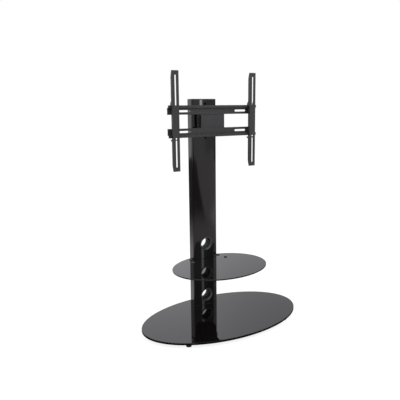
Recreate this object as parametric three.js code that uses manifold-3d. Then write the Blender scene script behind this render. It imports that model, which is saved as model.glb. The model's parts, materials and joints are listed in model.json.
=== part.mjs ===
// A pedestal stand for a flat screen: an oval glass base on four feet, a hollow column with a
// bowed front and two cable holes, an oval glass shelf, and a mounting head at the top that
// slides up and down, turns and tips, with two arms for the screen's back.
// Lengths are in millimetres. +X is to the right, +Y to the back and +Z up, and the origin is
// on the floor under the centre of the base.
import * as THREE from 'three'
import { mergeVertices } from 'three/addons/utils/BufferGeometryUtils.js'
import Module from 'manifold-3d'

const wasm = await Module()
wasm.setup()

// Clearances and overruns shared by the whole stand
const seatGap = 0.3 // between curved or screwed pieces that rest on each other
const runningGap = 0.25 // between pieces that move on each other
const overrun = 2 // how far a cutting tool runs past what it cuts
const weldSink = 0.5 // how far two pieces of one part run into each other before they are joined
const tinyStep = 0.01 // points of an outline closer than this are one point

// Base glass and its feet
const baseWidth = 800
const baseDepth = 470
const baseThickness = 10
const glassChamfer = 1
const footHeight = 16
const footDiameter = 24
const footRounding = 2
const footDiscDiameter = 28
const footDiscThickness = 3
const footSpacingX = 516
const footSpacingY = 303

// Column
const columnWidth = 132
const columnDepth = 58
const columnWall = 2.6
const columnBow = 8 // how far the middle of the front stands proud of its ends
const frontCornerRadius = 7
const backCornerRadius = 10
const columnFrontY = 138 // the middle of the bowed front, behind the centre of the base
const columnTopHeight = 1036
const gasketThickness = 1.5
const bossRadius = 7 // screw channels in the corners of the extrusion
const bossBore = 2.7
const bossWallBite = 1.2
const frontBossSetback = 17
const backBossSetback = 44
const capPlateThickness = 4
const capChamfer = 1.2
const capSkirtWidth = 84
const capSkirtDepth = 7
const capSkirtWall = 2.4

// Cable holes and their grommets
const holeDiameter = 60
const grommetClearDiameter = 57
const grommetLipDiameter = 68
const grommetLip = 1.8
const grommetSleeve = 9
const lowerHoleAboveBase = 52
const upperHoleAboveBase = 318

// Plate and bolts under the base glass
const basePlateWidth = 240
const basePlateDepth = 104
const basePlateThickness = 5
const basePlateCorner = 18
const basePlateOffset = -14 // the plate's centre from the column's centre
const baseBoltRadius = 3
const baseBoltHeadRadius = 6
const baseBoltHeadHeight = 4
const baseBoltGrip = 26 // how far the bolt reaches into the column
const boltHoleClearance = 0.5

// Shelf
const shelfWidth = 470
const shelfDepth = 356
const shelfThickness = 6
const shelfCentreY = 11
const shelfAboveBase = 243
const shelfNotchGap = 2
const shelfPadThickness = 2
const shelfPadRadius = 9
const shelfBoltRadius = 3
const shelfBoltHeadRadius = 5.5
const shelfBoltHeadHeight = 3
const shelfCapRadius = 8
const shelfCapHeight = 5
const shelfCapWall = 1.4
const shelfCapDomeShares = [[1, 0.5], [0.85, 0.82], [0.5, 1], [0, 1]] // of its radius and height
const shelfBoltFrontX = 92
const shelfBoltFrontY = 108
const shelfBoltBackX = 78
const shelfBoltBackY = 157

// Bracket under the shelf
const bracketThickness = 3
const bracketFrontY = 98
const bracketHalfWidth = 113
const bracketShoulderY = 146
const bracketBackHalfWidth = 86
const bracketBackY = 174
const bracketFlangeDrop = 58
const bracketFlangeDepth = 27
const bracketArmTipY = 4 // the two arms run forward under the glass to here
const bracketArmWidth = 18
const bracketArmRootDrop = 32 // height of an arm's web where it meets the flange
const bracketArmTipDrop = 6 // and at its tip
const armPadRadius = 8
const armPadSetback = 12 // the pad's centre behind the arm's tip
const bracketNutRadius = 6
const bracketNutHeight = 5
const bracketScrewRadius = 2.5
const bracketScrewHeadRadius = 5
const bracketScrewHeadHeight = 3
const bracketScrewReach = 6
const bracketScrewTopDrop = 18
const bracketScrewPitch = 26

// Carriage that rides on the column's front
const mountHeight = 940
const mountTravel = 40 // up and down from the middle
const saddleThickness = 5
const saddleWidth = 84
const carriageHeight = 108
const carriagePlateThickness = 4
const carriageCorner = 8
const clampBoltRadius = 4
const clampBoltHeadRadius = 6.5
const clampBoltHeadHeight = 5
const clampBoltPitch = 80
const slotWidth = 9
const clampPlateWidth = 30
const clampPlateHeight = 96
const clampPlateThickness = 5
const boltTail = 4 // how far a bolt stands past the plate or nut that holds it

// Swivel
const swivelStandoff = 17 // from the carriage plate's face to the swivel axis
const swivelEarSpan = 44 // between the inner faces of the carriage's two ears
const swivelEarThickness = 4
const swivelEarRadius = 14
const swivelEarRootWidth = 56
const swivelBoltRadius = 6
const swivelHeadRadius = 10
const swivelHeadHeight = 7
const swivelNutHeight = 8
const swivelWasherThickness = 1.6
const barrelRadius = 11

// Yoke and tilt head
const yokePlateThickness = 3.5
const yokePlateHeight = 40
const yokeEarThickness = 4
const yokeToAxis = 14 // from the yoke plate's face to the tilt axis
const tiltEarRadius = 11
const tiltEarThickness = 3
const tiltEarInnerHalf = 22
const tiltEarRootShare = 1.6 // the ears' half height at the head's plate, against their nose
const tiltBoltRadius = 4
const tiltBoltHeadRadius = 6.5
const tiltBoltHeadHeight = 5
const tiltAxisToPlate = 15 // from the tilt axis to the back of the head's plate
const headPlateWidth = 120
const headPlateHeight = 124
const headPlateThickness = 3
const headPlateCorner = 10
const knobRadius = 12
const knobLobe = 1.4
const knobLength = 20
const knobHubRadius = 8
const knobHubLength = 4
const knobBoreDepth = 16

// Rails and arms
const railLength = 460
const railHeight = 30
const railDepth = 12
const railWall = 2.5
const railLipHeight = 10
const railSpacing = 90
const railSlotLength = 60
const railSlotHeight = 9
const armWidth = 32
const armHeight = 430
const armWall = 2.5
const armDepth = 13.6
const armSpacing = 400
const armNoseHeight = 26 // the length over which the arm's ends taper
const armNoseDepth = 6
const armSlotWidth = 7
const armSlotLength = 130
const armSlotFromEnd = 18
const hookGap = 0.3
const hookBridge = 6 // the hook's height over the rail's lip, at its tongue
const hookRoot = 18 // and where it meets the arm
const hookTongue = 6
const lockTabThickness = 3.5
const lockTabBelowLip = 6.5
const lockTabReach = 11
const lockScrewRadius = 2.5
const lockScrewRise = 8 // how far the screw's tip stands up behind the rail's lip
const lockScrewHeadRadius = 6
const lockScrewHeadHeight = 9
const lockScrewHeadShares = [ // of the head's radius, and of its height counted down from the tab
  [0.88, 1], [1, 0.85], [1, 0.6], [0.88, 0.5], [1, 0.4], [1, 0.15], [0.88, 0.03],
]

// Numbers of flat sides and steps on round shapes
const ovalSides = 96
const holeSides = 32
const roundSides = 18
const smallSides = 12
const hexSides = 6
const bowSteps = 12
const cornerSteps = 4
const knobLobes = 5
const knobStepsPerLobe = 6

// Places that follow from the sizes above
const baseTop = footHeight + baseThickness
const columnBottom = baseTop + gasketThickness
const columnHeight = columnTopHeight - columnBottom
const columnBackY = columnFrontY + columnDepth
const columnCentreY = columnFrontY + columnDepth / 2
const shelfTop = baseTop + shelfAboveBase
const shelfUnderside = shelfTop - shelfThickness
const lowerHoleHeight = baseTop + lowerHoleAboveBase
const upperHoleHeight = baseTop + upperHoleAboveBase
const bowRadius = (columnWidth ** 2 / 4 + columnBow ** 2) / (2 * columnBow)
const frontCornerX = columnWidth / 2 - frontCornerRadius
const frontCornerY = bowRadius - Math.sqrt((bowRadius - frontCornerRadius) ** 2 - frontCornerX ** 2)
const bossX = columnWidth / 2 - columnWall - bossRadius + bossWallBite
const swivelY = -saddleThickness - carriagePlateThickness - swivelStandoff // from the column's front
const yokePlateBackY = swivelY - barrelRadius + weldSink
const yokeHalfWidth = tiltEarInnerHalf + tiltEarThickness + runningGap + yokeEarThickness
const tiltY = yokePlateBackY - yokePlateThickness - yokeToAxis
const headPlateBackY = tiltY - tiltAxisToPlate
const railBackY = headPlateBackY - headPlateThickness
const railFrontY = railBackY - railDepth
const armFrontY = railFrontY - hookGap - armDepth
const railHalfHeight = railHeight / 2
const railLipTop = railHalfHeight + railLipHeight // from the rail's centre
const tongueFront = railWall + hookGap // behind the front of the rail's lip

// Geometry to solid and back
function toSolid(geometry) {
  const loose = geometry.index ? geometry.toNonIndexed() : geometry.clone()
  loose.deleteAttribute('normal')
  loose.deleteAttribute('uv')
  const merged = mergeVertices(loose)
  const index = merged.index.array
  const faces = []
  for (let i = 0; i < index.length; i += 3) {
    const [a, b, c] = [index[i], index[i + 1], index[i + 2]]
    if (a !== b && b !== c && c !== a) faces.push(a, b, c)
  }
  return new wasm.Manifold(new wasm.Mesh({
    numProp: 3,
    vertProperties: Float32Array.from(merged.attributes.position.array),
    triVerts: Uint32Array.from(faces),
  }))
}

function toGeometry(solid) {
  const { vertProperties, triVerts } = solid.getMesh()
  const geometry = new THREE.BufferGeometry()
  geometry.setAttribute('position', new THREE.BufferAttribute(vertProperties, 3))
  geometry.setIndex(new THREE.BufferAttribute(triVerts, 1))
  const faceted = geometry.toNonIndexed()
  faceted.computeVertexNormals()
  return faceted
}

const join = (...pieces) => toGeometry(pieces.map(toSolid).reduce((whole, piece) => whole.add(piece)))
const cut = (body, ...tools) => (
  toGeometry(tools.map(toSolid).reduce((rest, tool) => rest.subtract(tool), toSolid(body)))
)
const common = (first, second) => toGeometry(toSolid(first).intersect(toSolid(second)))
const moved = (geometry, x, y, z) => geometry.clone().translate(x, y, z)

// Basic shapes, each centred on its own origin unless its comment says otherwise
const block = (width, depth, height) => new THREE.BoxGeometry(width, depth, height)

function rod(axis, radius, length, sides = roundSides) {
  const geometry = new THREE.CylinderGeometry(radius, radius, length, sides)
  if (axis === 'x') geometry.rotateZ(-Math.PI / 2)
  if (axis === 'z') geometry.rotateX(Math.PI / 2)
  return geometry
}

// A turned piece about the vertical, from a profile of [radius, height] points
function turned(profile, sides = roundSides) {
  const points = profile.map(([radius, height]) => new THREE.Vector2(radius, height))
  return new THREE.LatheGeometry(points, sides).rotateX(Math.PI / 2)
}

function arc(centreX, centreY, radius, from, to, steps) {
  return Array.from({ length: steps + 1 }, (_, i) => {
    const angle = from + (to - from) * i / steps
    return new THREE.Vector2(centreX + radius * Math.cos(angle), centreY + radius * Math.sin(angle))
  })
}

// Joins runs of points into one closed outline without doubled points
function outline(...runs) {
  const points = runs.flat()
  return points.filter((point, i) => (
    point.distanceTo(points[(i + points.length - 1) % points.length]) > tinyStep
  ))
}

const corner = (x, y) => [new THREE.Vector2(x, y)]

function roundedBox(width, depth, radius) {
  const [x, y] = [width / 2 - radius, depth / 2 - radius]
  return outline(
    arc(x, y, radius, 0, Math.PI / 2, cornerSteps),
    arc(-x, y, radius, Math.PI / 2, Math.PI, cornerSteps),
    arc(-x, -y, radius, Math.PI, Math.PI * 1.5, cornerSteps),
    arc(x, -y, radius, Math.PI * 1.5, Math.PI * 2, cornerSteps),
  )
}

// A round-ended slot
const slotOutline = (width, depth) => (
  roundedBox(width, depth, Math.min(width, depth) / 2 - tinyStep)
)

// A plate standing on z = 0, with an even chamfer round its top and bottom edges if one is given
function plate(points, thickness, chamfer = 0) {
  return new THREE.ExtrudeGeometry(new THREE.Shape(points), {
    depth: thickness - chamfer * 2,
    bevelEnabled: chamfer > 0,
    bevelThickness: chamfer,
    bevelSize: chamfer,
    bevelOffset: -chamfer,
    bevelSegments: 1,
  }).translate(0, 0, chamfer)
}

// The same plate stood up: its outline lies in X and Z, and it runs from y = 0 to the back
const uprightPlate = (points, thickness) => (
  plate(points, thickness).rotateX(Math.PI / 2).translate(0, thickness, 0)
)

// A plate whose outline lies in Y and Z, centred on x = 0
const sidePlate = (points, thickness) => (
  plate(points, thickness).rotateZ(Math.PI / 2).rotateY(Math.PI / 2).translate(-thickness / 2, 0, 0)
)

// Finishes, and the group that every piece joins
const stand = new THREE.Group()
const blackGlass = { color: 0x0b0b0d, roughness: 0.05, metalness: 0 }
const glossBlack = { color: 0x0c0c0e, roughness: 0.12, metalness: 0 }
const blackPlastic = { color: 0x111113, roughness: 0.35, metalness: 0 }
const blackRubber = { color: 0x0e0e0e, roughness: 0.8, metalness: 0 }
const powderCoat = { color: 0x17171a, roughness: 0.55, metalness: 0.2 }
const zincSteel = { color: 0xa6a8ab, roughness: 0.35, metalness: 1 }
const nylon = { color: 0xd8d6cf, roughness: 0.5, metalness: 0 }

function add(name, geometry, finish, x = 0, y = 0, z = 0) {
  const mesh = new THREE.Mesh(geometry, new THREE.MeshStandardMaterial(finish))
  mesh.name = name
  mesh.position.set(x, y, z)
  stand.add(mesh)
}

const corners = [
  ['front_left', -1, -1], ['front_right', 1, -1], ['back_left', -1, 1], ['back_right', 1, 1],
]

// Column section, seen from above with the middle of the bowed front at y = 0.
// A positive inset moves the whole outline inwards.
function columnSection(inset) {
  const frontAngle = Math.atan2(frontCornerY - bowRadius, frontCornerX)
  const front = frontCornerRadius - inset
  const back = backCornerRadius - inset
  const [backX, backY] = [columnWidth / 2 - backCornerRadius, columnDepth - backCornerRadius]
  return outline(
    arc(0, bowRadius, bowRadius - inset, -Math.PI - frontAngle, frontAngle, bowSteps),
    arc(frontCornerX, frontCornerY, front, frontAngle, 0, cornerSteps),
    arc(backX, backY, back, 0, Math.PI / 2, cornerSteps),
    arc(-backX, backY, back, Math.PI / 2, Math.PI, cornerSteps),
    arc(-frontCornerX, frontCornerY, front, Math.PI, Math.PI - frontAngle, cornerSteps),
  )
}

// The part of a curved slab that follows the bowed front, between two offsets from it
// (a positive offset is in front of the column), over a given half width
function bowSlab(outerOffset, innerOffset, halfWidth, height) {
  const half = Math.asin(halfWidth / bowRadius)
  const [from, to] = [-Math.PI / 2 - half, -Math.PI / 2 + half]
  const outer = arc(0, bowRadius, bowRadius + outerOffset, from, to, bowSteps)
  const inner = arc(0, bowRadius, bowRadius + innerOffset, to, from, bowSteps)
  return plate(outline(outer, inner), height).translate(0, 0, -height / 2)
}

// All that lies behind the bowed front moved out by a gap, over a given half width
function bowRoom(gap, halfWidth, height) {
  const half = Math.asin(halfWidth / bowRadius)
  const front = arc(0, bowRadius, bowRadius + gap, -Math.PI / 2 - half, -Math.PI / 2 + half, bowSteps)
  const [left, right] = [front[0].x, front.at(-1).x]
  return plate(outline(front, corner(right, columnDepth), corner(left, columnDepth)), height)
    .translate(0, 0, -height / 2)
}

const bossPlaces = [
  ['front_left', -bossX, frontBossSetback], ['front_right', bossX, frontBossSetback],
  ['back_left', -bossX, backBossSetback], ['back_right', bossX, backBossSetback],
]
const holeHeights = [['lower', lowerHoleHeight], ['upper', upperHoleHeight]]

function buildColumn() {
  const skin = plate(columnSection(0), columnHeight)
  const hollow = plate(columnSection(columnWall), columnHeight + overrun * 2).translate(0, 0, -overrun)
  const bosses = bossPlaces.map(([, x, y]) => (
    moved(rod('z', bossRadius, columnHeight, smallSides), x, y, columnHeight / 2)
  ))
  const bores = bossPlaces.map(([, x, y]) => (
    moved(rod('z', bossBore, columnHeight + overrun * 2, smallSides), x, y, columnHeight / 2)
  ))
  const cableHoles = holeHeights.map(([, height]) => (
    moved(rod('y', holeDiameter / 2, columnDepth + overrun * 2, holeSides),
      0, columnDepth / 2, height - columnBottom)
  ))
  const slotHeight = clampBoltPitch + mountTravel * 2 + slotWidth
  const slot = uprightPlate(slotOutline(slotWidth, slotHeight), columnWall + overrun * 2)
    .translate(0, -overrun, mountHeight - columnBottom)
  const sideScrews = [0, 1].map((row) => moved(
    rod('x', bracketScrewRadius + boltHoleClearance, columnWidth + overrun * 2, smallSides),
    0, flangeCentreSetback, bracketScrewHeight(row) - columnBottom,
  ))
  const tube = cut(skin, hollow)
  // the channels are trimmed to the skin so that they can't show through it
  const channels = bosses.map((boss) => common(boss, skin))
  return cut(join(tube, ...channels), ...bores, ...cableHoles, slot, ...sideScrews)
}

// Bracket places that the column's screw holes share
const flangeCentreSetback = frontCornerY + bracketFlangeDepth / 2 + runningGap
const bracketTop = shelfUnderside - shelfPadThickness
const bracketScrewHeight = (row) => (
  bracketTop - bracketThickness - bracketScrewTopDrop - bracketScrewPitch * row
)

// Base: glass, plate under it, feet and bolts
const oval = (width, depth) => outline(arc(0, 0, 1, 0, Math.PI * 2, ovalSides)
  .map((point) => new THREE.Vector2(point.x * width / 2, point.y * depth / 2)))

function addBase() {
  const boltHoles = bossPlaces.map(([, x, y]) => moved(
    rod('z', baseBoltRadius + boltHoleClearance, (baseTop + overrun) * 2, smallSides),
    x, columnFrontY + y, 0,
  ))
  const glass = plate(oval(baseWidth, baseDepth), baseThickness, glassChamfer).translate(0, 0, footHeight)
  add('base_glass', cut(glass, ...boltHoles), blackGlass)

  const steel = plate(roundedBox(basePlateWidth, basePlateDepth, basePlateCorner), basePlateThickness)
    .translate(0, columnCentreY + basePlateOffset, footHeight - basePlateThickness)
  add('base_plate', cut(steel, ...boltHoles), powderCoat)

  const padTop = footHeight - footDiscThickness
  const disc = turned([
    [0, padTop], [footDiameter / 2, padTop], [footDiscDiameter / 2, padTop + footDiscThickness / 2],
    [footDiscDiameter / 2, footHeight], [0, footHeight],
  ])
  const pad = turned([
    [0, 0], [footDiameter / 2 - footRounding, 0], [footDiameter / 2, footRounding],
    [footDiameter / 2, padTop], [0, padTop],
  ])
  for (const [name, sideX, sideY] of corners) {
    const [x, y] = [sideX * footSpacingX / 2, sideY * footSpacingY / 2]
    add(`foot_disc_${name}`, disc, blackPlastic, x, y)
    add(`foot_pad_${name}`, pad, blackRubber, x, y)
  }

  const plateBottom = footHeight - basePlateThickness
  const bolt = join(
    rod('z', baseBoltRadius - boltHoleClearance, baseBoltGrip + baseTop - plateBottom, smallSides)
      .translate(0, 0, (baseBoltGrip + baseTop - plateBottom) / 2 - weldSink),
    rod('z', baseBoltHeadRadius, baseBoltHeadHeight, hexSides).translate(0, 0, -baseBoltHeadHeight / 2),
  )
  for (const [name, x, y] of bossPlaces) {
    add(`base_bolt_${name}`, bolt, zincSteel, x, columnFrontY + y, plateBottom)
  }
}

// Column with its gasket, cap and grommets
function buildFrontGrommet() {
  const lipRing = common(
    bowSlab(seatGap + grommetLip, seatGap, grommetLipDiameter / 2 + overrun, grommetLipDiameter + overrun),
    rod('y', grommetLipDiameter / 2, columnDepth, holeSides),
  )
  const sleeve = common(
    bowSlab(seatGap + grommetLip / 2, -grommetSleeve, grommetLipDiameter / 2, grommetLipDiameter),
    rod('y', holeDiameter / 2 - seatGap, columnDepth, holeSides),
  )
  return cut(join(lipRing, sleeve), rod('y', grommetClearDiameter / 2, columnDepth, holeSides))
}

function buildBackGrommet() {
  const [clear, sleeve, lip] = [grommetClearDiameter / 2, holeDiameter / 2 - seatGap, grommetLipDiameter / 2]
  return turned([
    [clear, 0], [sleeve, 0], [sleeve, grommetSleeve], [lip, grommetSleeve],
    [lip - grommetLip / 2, grommetSleeve + grommetLip], [clear, grommetSleeve + grommetLip], [clear, 0],
  ], holeSides).rotateX(-Math.PI / 2).translate(0, -grommetSleeve, 0)
}

function addColumn() {
  add('column_shell', buildColumn(), glossBlack, 0, columnFrontY, columnBottom)
  const bores = bossPlaces.map(([, x, y]) => moved(
    rod('z', baseBoltRadius + boltHoleClearance, (gasketThickness + overrun) * 2, smallSides), x, y, 0,
  ))
  const gasket = cut(plate(columnSection(0), gasketThickness), ...bores)
  add('column_gasket', gasket, blackRubber, 0, columnFrontY, baseTop)

  const skirtFront = columnWall + columnBow / 2
  const skirtBack = columnDepth - columnWall - seatGap
  const skirtAcross = skirtBack - skirtFront
  const skirt = cut(
    block(capSkirtWidth, skirtAcross, capSkirtDepth),
    block(capSkirtWidth - capSkirtWall * 2, skirtAcross - capSkirtWall * 2, capSkirtDepth + overrun * 2),
  ).translate(0, (skirtFront + skirtBack) / 2, -capSkirtDepth / 2 + weldSink)
  add('column_cap', join(plate(columnSection(0), capPlateThickness, capChamfer), skirt), blackPlastic,
    0, columnFrontY, columnTopHeight)

  const [front, back] = [buildFrontGrommet(), buildBackGrommet()]
  for (const [name, height] of holeHeights) {
    add(`grommet_front_${name}`, front, blackPlastic, 0, columnFrontY, height)
    add(`grommet_back_${name}`, back, blackPlastic, 0, columnBackY, height)
  }
}

// Shelf: notched glass, bracket, pads, bolts and caps
const shelfBoltPlaces = [
  ['front_left', -shelfBoltFrontX, shelfBoltFrontY], ['front_right', shelfBoltFrontX, shelfBoltFrontY],
  ['back_left', -shelfBoltBackX, shelfBoltBackY], ['back_right', shelfBoltBackX, shelfBoltBackY],
]

// The room the column needs in a plate, open to the back
function columnRoom(gap, height) {
  const room = plate(columnSection(-gap), height).translate(0, columnFrontY, 0)
  const wayOut = block(columnWidth + gap * 2, columnDepth * 2, height)
    .translate(0, columnCentreY + columnDepth, height / 2)
  return join(room, wayOut)
}

function addShelf() {
  const boltHole = shelfBoltRadius + boltHoleClearance
  const boltHoles = shelfBoltPlaces.map(([, x, y]) => moved(
    rod('z', boltHole, (shelfThickness + overrun) * 2, smallSides), x, y, shelfUnderside,
  ))
  const glass = plate(oval(shelfWidth, shelfDepth), shelfThickness, glassChamfer)
    .translate(0, shelfCentreY, shelfUnderside)
  const notch = columnRoom(shelfNotchGap, shelfThickness + overrun * 2)
    .translate(0, 0, shelfUnderside - overrun)
  add('shelf_glass', cut(glass, notch, ...boltHoles), blackGlass)

  const armInner = columnWidth / 2 + seatGap
  const armOuter = armInner + bracketArmWidth
  const sheetOutline = outline(
    corner(bracketHalfWidth, bracketFrontY), corner(bracketHalfWidth, bracketShoulderY),
    corner(bracketBackHalfWidth, bracketBackY), corner(-bracketBackHalfWidth, bracketBackY),
    corner(-bracketHalfWidth, bracketShoulderY), corner(-bracketHalfWidth, bracketFrontY),
    corner(-armOuter, bracketFrontY), corner(-armOuter, bracketArmTipY),
    corner(-armInner, bracketArmTipY), corner(-armInner, bracketFrontY),
    corner(armInner, bracketFrontY), corner(armInner, bracketArmTipY),
    corner(armOuter, bracketArmTipY), corner(armOuter, bracketFrontY),
  )
  const sheet = plate(sheetOutline, bracketThickness)
  const room = columnRoom(seatGap, bracketThickness + overrun * 2).translate(0, 0, -overrun)
  const flange = block(bracketThickness, bracketFlangeDepth, bracketFlangeDrop)
  const flangeX = columnWidth / 2 + seatGap + bracketThickness / 2
  const flangeZ = bracketThickness - bracketFlangeDrop / 2
  const flangeY = columnFrontY + flangeCentreSetback
  const flanges = [-1, 1].map((side) => (
    moved(flange, side * flangeX, flangeY, flangeZ)
  ))
  const webOutline = outline(
    corner(bracketArmTipY, bracketThickness), corner(bracketArmTipY, bracketThickness - bracketArmTipDrop),
    corner(flangeY, bracketThickness - bracketArmRootDrop), corner(flangeY, bracketThickness),
  )
  const webs = [-1, 1].map((side) => (
    moved(sidePlate(webOutline, bracketThickness), side * flangeX, 0, 0)
  ))
  const nuts = shelfBoltPlaces.map(([, x, y]) => moved(
    rod('z', bracketNutRadius, bracketNutHeight + weldSink, hexSides),
    x, y, (weldSink - bracketNutHeight) / 2,
  ))
  const bores = shelfBoltPlaces.map(([, x, y]) => (
    moved(rod('z', shelfBoltRadius, (bracketNutHeight + overrun) * 2, smallSides), x, y, 0)
  ))
  const screwHoles = [0, 1].map((row) => moved(
    rod('x', bracketScrewRadius + boltHoleClearance, bracketHalfWidth * 2, smallSides),
    0, flangeY, bracketScrewHeight(row) - bracketTop + bracketThickness,
  ))
  const bracket = cut(join(cut(sheet, room), ...flanges, ...webs, ...nuts), ...bores, ...screwHoles)
  add('shelf_bracket', bracket, powderCoat, 0, 0, bracketTop - bracketThickness)

  const screw = join(
    rod('x', bracketScrewRadius - seatGap, bracketScrewReach + bracketThickness, smallSides)
      .translate(-(bracketScrewReach + bracketThickness) / 2 + weldSink, 0, 0),
    rod('x', bracketScrewHeadRadius, bracketScrewHeadHeight, smallSides)
      .translate(bracketScrewHeadHeight / 2, 0, 0),
  )
  const screwX = columnWidth / 2 + seatGap + bracketThickness
  for (const [name, side] of [['left', -1], ['right', 1]]) {
    for (const row of [0, 1]) {
      const mirrored = side < 0 ? screw.clone().rotateZ(Math.PI) : screw
      add(`bracket_screw_${name}_${row + 1}`, mirrored, zincSteel,
        side * screwX, flangeY, bracketScrewHeight(row))
    }
  }

  const pad = turned([
    [boltHole, 0], [shelfPadRadius, 0], [shelfPadRadius, shelfPadThickness],
    [boltHole, shelfPadThickness], [boltHole, 0],
  ])
  const boltLength = shelfThickness + shelfPadThickness + bracketThickness + bracketNutHeight
  const bolt = join(
    rod('z', shelfBoltRadius - seatGap, boltLength, smallSides).translate(0, 0, -boltLength / 2 + weldSink),
    rod('z', shelfBoltHeadRadius, shelfBoltHeadHeight, smallSides).translate(0, 0, shelfBoltHeadHeight / 2),
  )
  const inside = shelfCapRadius - shelfCapWall
  const roof = shelfBoltHeadHeight + seatGap
  const dome = shelfCapDomeShares.map(([across, up]) => [shelfCapRadius * across, shelfCapHeight * up])
  const cap = turned([[0, roof], [inside, roof], [inside, 0], [shelfCapRadius, 0], ...dome])
  for (const [name, x, y] of shelfBoltPlaces) {
    add(`shelf_pad_${name}`, pad, blackRubber, x, y, bracketTop)
    add(`shelf_bolt_${name}`, bolt, zincSteel, x, y, shelfTop)
    add(`shelf_cap_${name}`, cap, blackPlastic, x, y, shelfTop)
  }
  const armPad = turned([
    [0, 0], [armPadRadius, 0], [armPadRadius, shelfPadThickness], [0, shelfPadThickness],
  ])
  for (const [name, side] of [['left', -1], ['right', 1]]) {
    add(`shelf_pad_arm_${name}`, armPad, blackRubber,
      side * (armInner + armOuter) / 2, bracketArmTipY + armPadSetback, bracketTop)
  }
}

// Carriage: saddle, plate with ears, clamp plate and bolts. Here and below y counts from the
// column's front and z from the middle of the mounting head.
const clampBoltHeights = [-clampBoltPitch / 2, clampBoltPitch / 2]
const clampPlateFront = columnWall + (clampPlateWidth / 2) ** 2 / (2 * bowRadius) + seatGap

function addCarriage() {
  const holes = clampBoltHeights.map((z) => (
    moved(rod('y', clampBoltRadius + boltHoleClearance, columnDepth * 2, smallSides), 0, 0, z)
  ))
  const saddleBlank = uprightPlate(roundedBox(saddleWidth, carriageHeight, carriageCorner), columnDepth / 2)
    .translate(0, -saddleThickness, 0)
  const saddleRoom = bowRoom(seatGap, saddleWidth / 2 + overrun, carriageHeight + overrun)
  add('mount_saddle', cut(saddleBlank, saddleRoom, ...holes), blackPlastic, 0, columnFrontY, mountHeight)

  const plateFront = -saddleThickness - carriagePlateThickness
  const back = uprightPlate(roundedBox(saddleWidth, carriageHeight, carriageCorner), carriagePlateThickness)
    .translate(0, plateFront, 0)
  const root = swivelEarRootWidth / 2
  const earAngle = Math.atan2(root - swivelEarRadius, swivelStandoff)
  const ear = plate(outline(
    corner(root, plateFront + weldSink), corner(-root, plateFront + weldSink),
    arc(0, swivelY, swivelEarRadius, Math.PI + earAngle, Math.PI * 2 - earAngle, cornerSteps * 3),
  ).reverse(), swivelEarThickness)
  const ears = [
    moved(ear, 0, 0, swivelEarSpan / 2),
    moved(ear, 0, 0, -swivelEarSpan / 2 - swivelEarThickness),
  ]
  const pinHole = rod('z', swivelBoltRadius + runningGap, carriageHeight).translate(0, swivelY, 0)
  const carriage = cut(join(back, ...ears), pinHole, ...holes)
  add('carriage_plate', carriage, powderCoat, 0, columnFrontY, mountHeight)

  const clampOutline = roundedBox(clampPlateWidth, clampPlateHeight, carriageCorner / 2)
  const clamp = uprightPlate(clampOutline, clampPlateThickness).translate(0, clampPlateFront, 0)
  add('clamp_plate', cut(clamp, ...holes), zincSteel, 0, columnFrontY, mountHeight)

  const boltEnd = clampPlateFront + clampPlateThickness + boltTail
  const bolt = join(
    rod('y', clampBoltRadius, boltEnd - plateFront, smallSides)
      .translate(0, (boltEnd + plateFront) / 2 - weldSink, 0),
    rod('y', clampBoltHeadRadius, clampBoltHeadHeight, hexSides)
      .translate(0, plateFront - clampBoltHeadHeight / 2, 0),
  )
  for (const [i, name] of ['lower', 'upper'].entries()) {
    add(`clamp_bolt_${name}`, bolt, zincSteel, 0, columnFrontY, mountHeight + clampBoltHeights[i])
  }
}

// Swivel: bolt, nut, washers and yoke
function addSwivel() {
  const earTop = swivelEarSpan / 2 + swivelEarThickness
  const boltEnd = -earTop - swivelNutHeight - boltTail
  const bolt = join(
    rod('z', swivelBoltRadius, earTop - boltEnd + weldSink)
      .translate(0, 0, (earTop + boltEnd + weldSink) / 2),
    rod('z', swivelHeadRadius, swivelHeadHeight, hexSides).translate(0, 0, earTop + swivelHeadHeight / 2),
  )
  const axisY = columnFrontY + swivelY
  add('swivel_bolt', bolt, zincSteel, 0, axisY, mountHeight)
  const nut = cut(
    rod('z', swivelHeadRadius, swivelNutHeight, hexSides),
    rod('z', swivelBoltRadius + runningGap, swivelNutHeight + overrun * 2),
  )
  add('swivel_nut', nut, zincSteel, 0, axisY, mountHeight - earTop - swivelNutHeight / 2)

  const bore = swivelBoltRadius + runningGap
  const washer = turned([
    [bore, 0], [barrelRadius, 0], [barrelRadius, swivelWasherThickness],
    [bore, swivelWasherThickness], [bore, 0],
  ])
  const washerTop = swivelEarSpan / 2 - swivelWasherThickness
  add('swivel_washer_top', washer, nylon, 0, axisY, mountHeight + washerTop)
  add('swivel_washer_bottom', washer, nylon, 0, axisY, mountHeight - swivelEarSpan / 2)

  const barrel = rod('z', barrelRadius, (washerTop - runningGap) * 2).translate(0, swivelY, 0)
  const crossPlate = block(yokeHalfWidth * 2, yokePlateThickness, yokePlateHeight)
    .translate(0, yokePlateBackY - yokePlateThickness / 2, 0)
  const earOutline = outline(
    corner(yokePlateBackY, yokePlateHeight / 2), corner(tiltY, tiltEarRadius),
    arc(tiltY, 0, tiltEarRadius, Math.PI / 2, Math.PI * 1.5, cornerSteps * 2),
    corner(yokePlateBackY, -yokePlateHeight / 2),
  )
  const earX = yokeHalfWidth - yokeEarThickness / 2
  const ears = [-1, 1].map((side) => moved(sidePlate(earOutline, yokeEarThickness), side * earX, 0, 0))
  const tiltHole = rod('x', tiltBoltRadius + runningGap, yokeHalfWidth * 2 + overrun * 2, smallSides)
    .translate(0, tiltY, 0)
  const swivelHole = rod('z', bore, swivelEarSpan).translate(0, swivelY, 0)
  add('swivel_yoke', cut(join(barrel, crossPlate, ...ears), tiltHole, swivelHole), powderCoat,
    0, columnFrontY, mountHeight)
}

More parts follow.
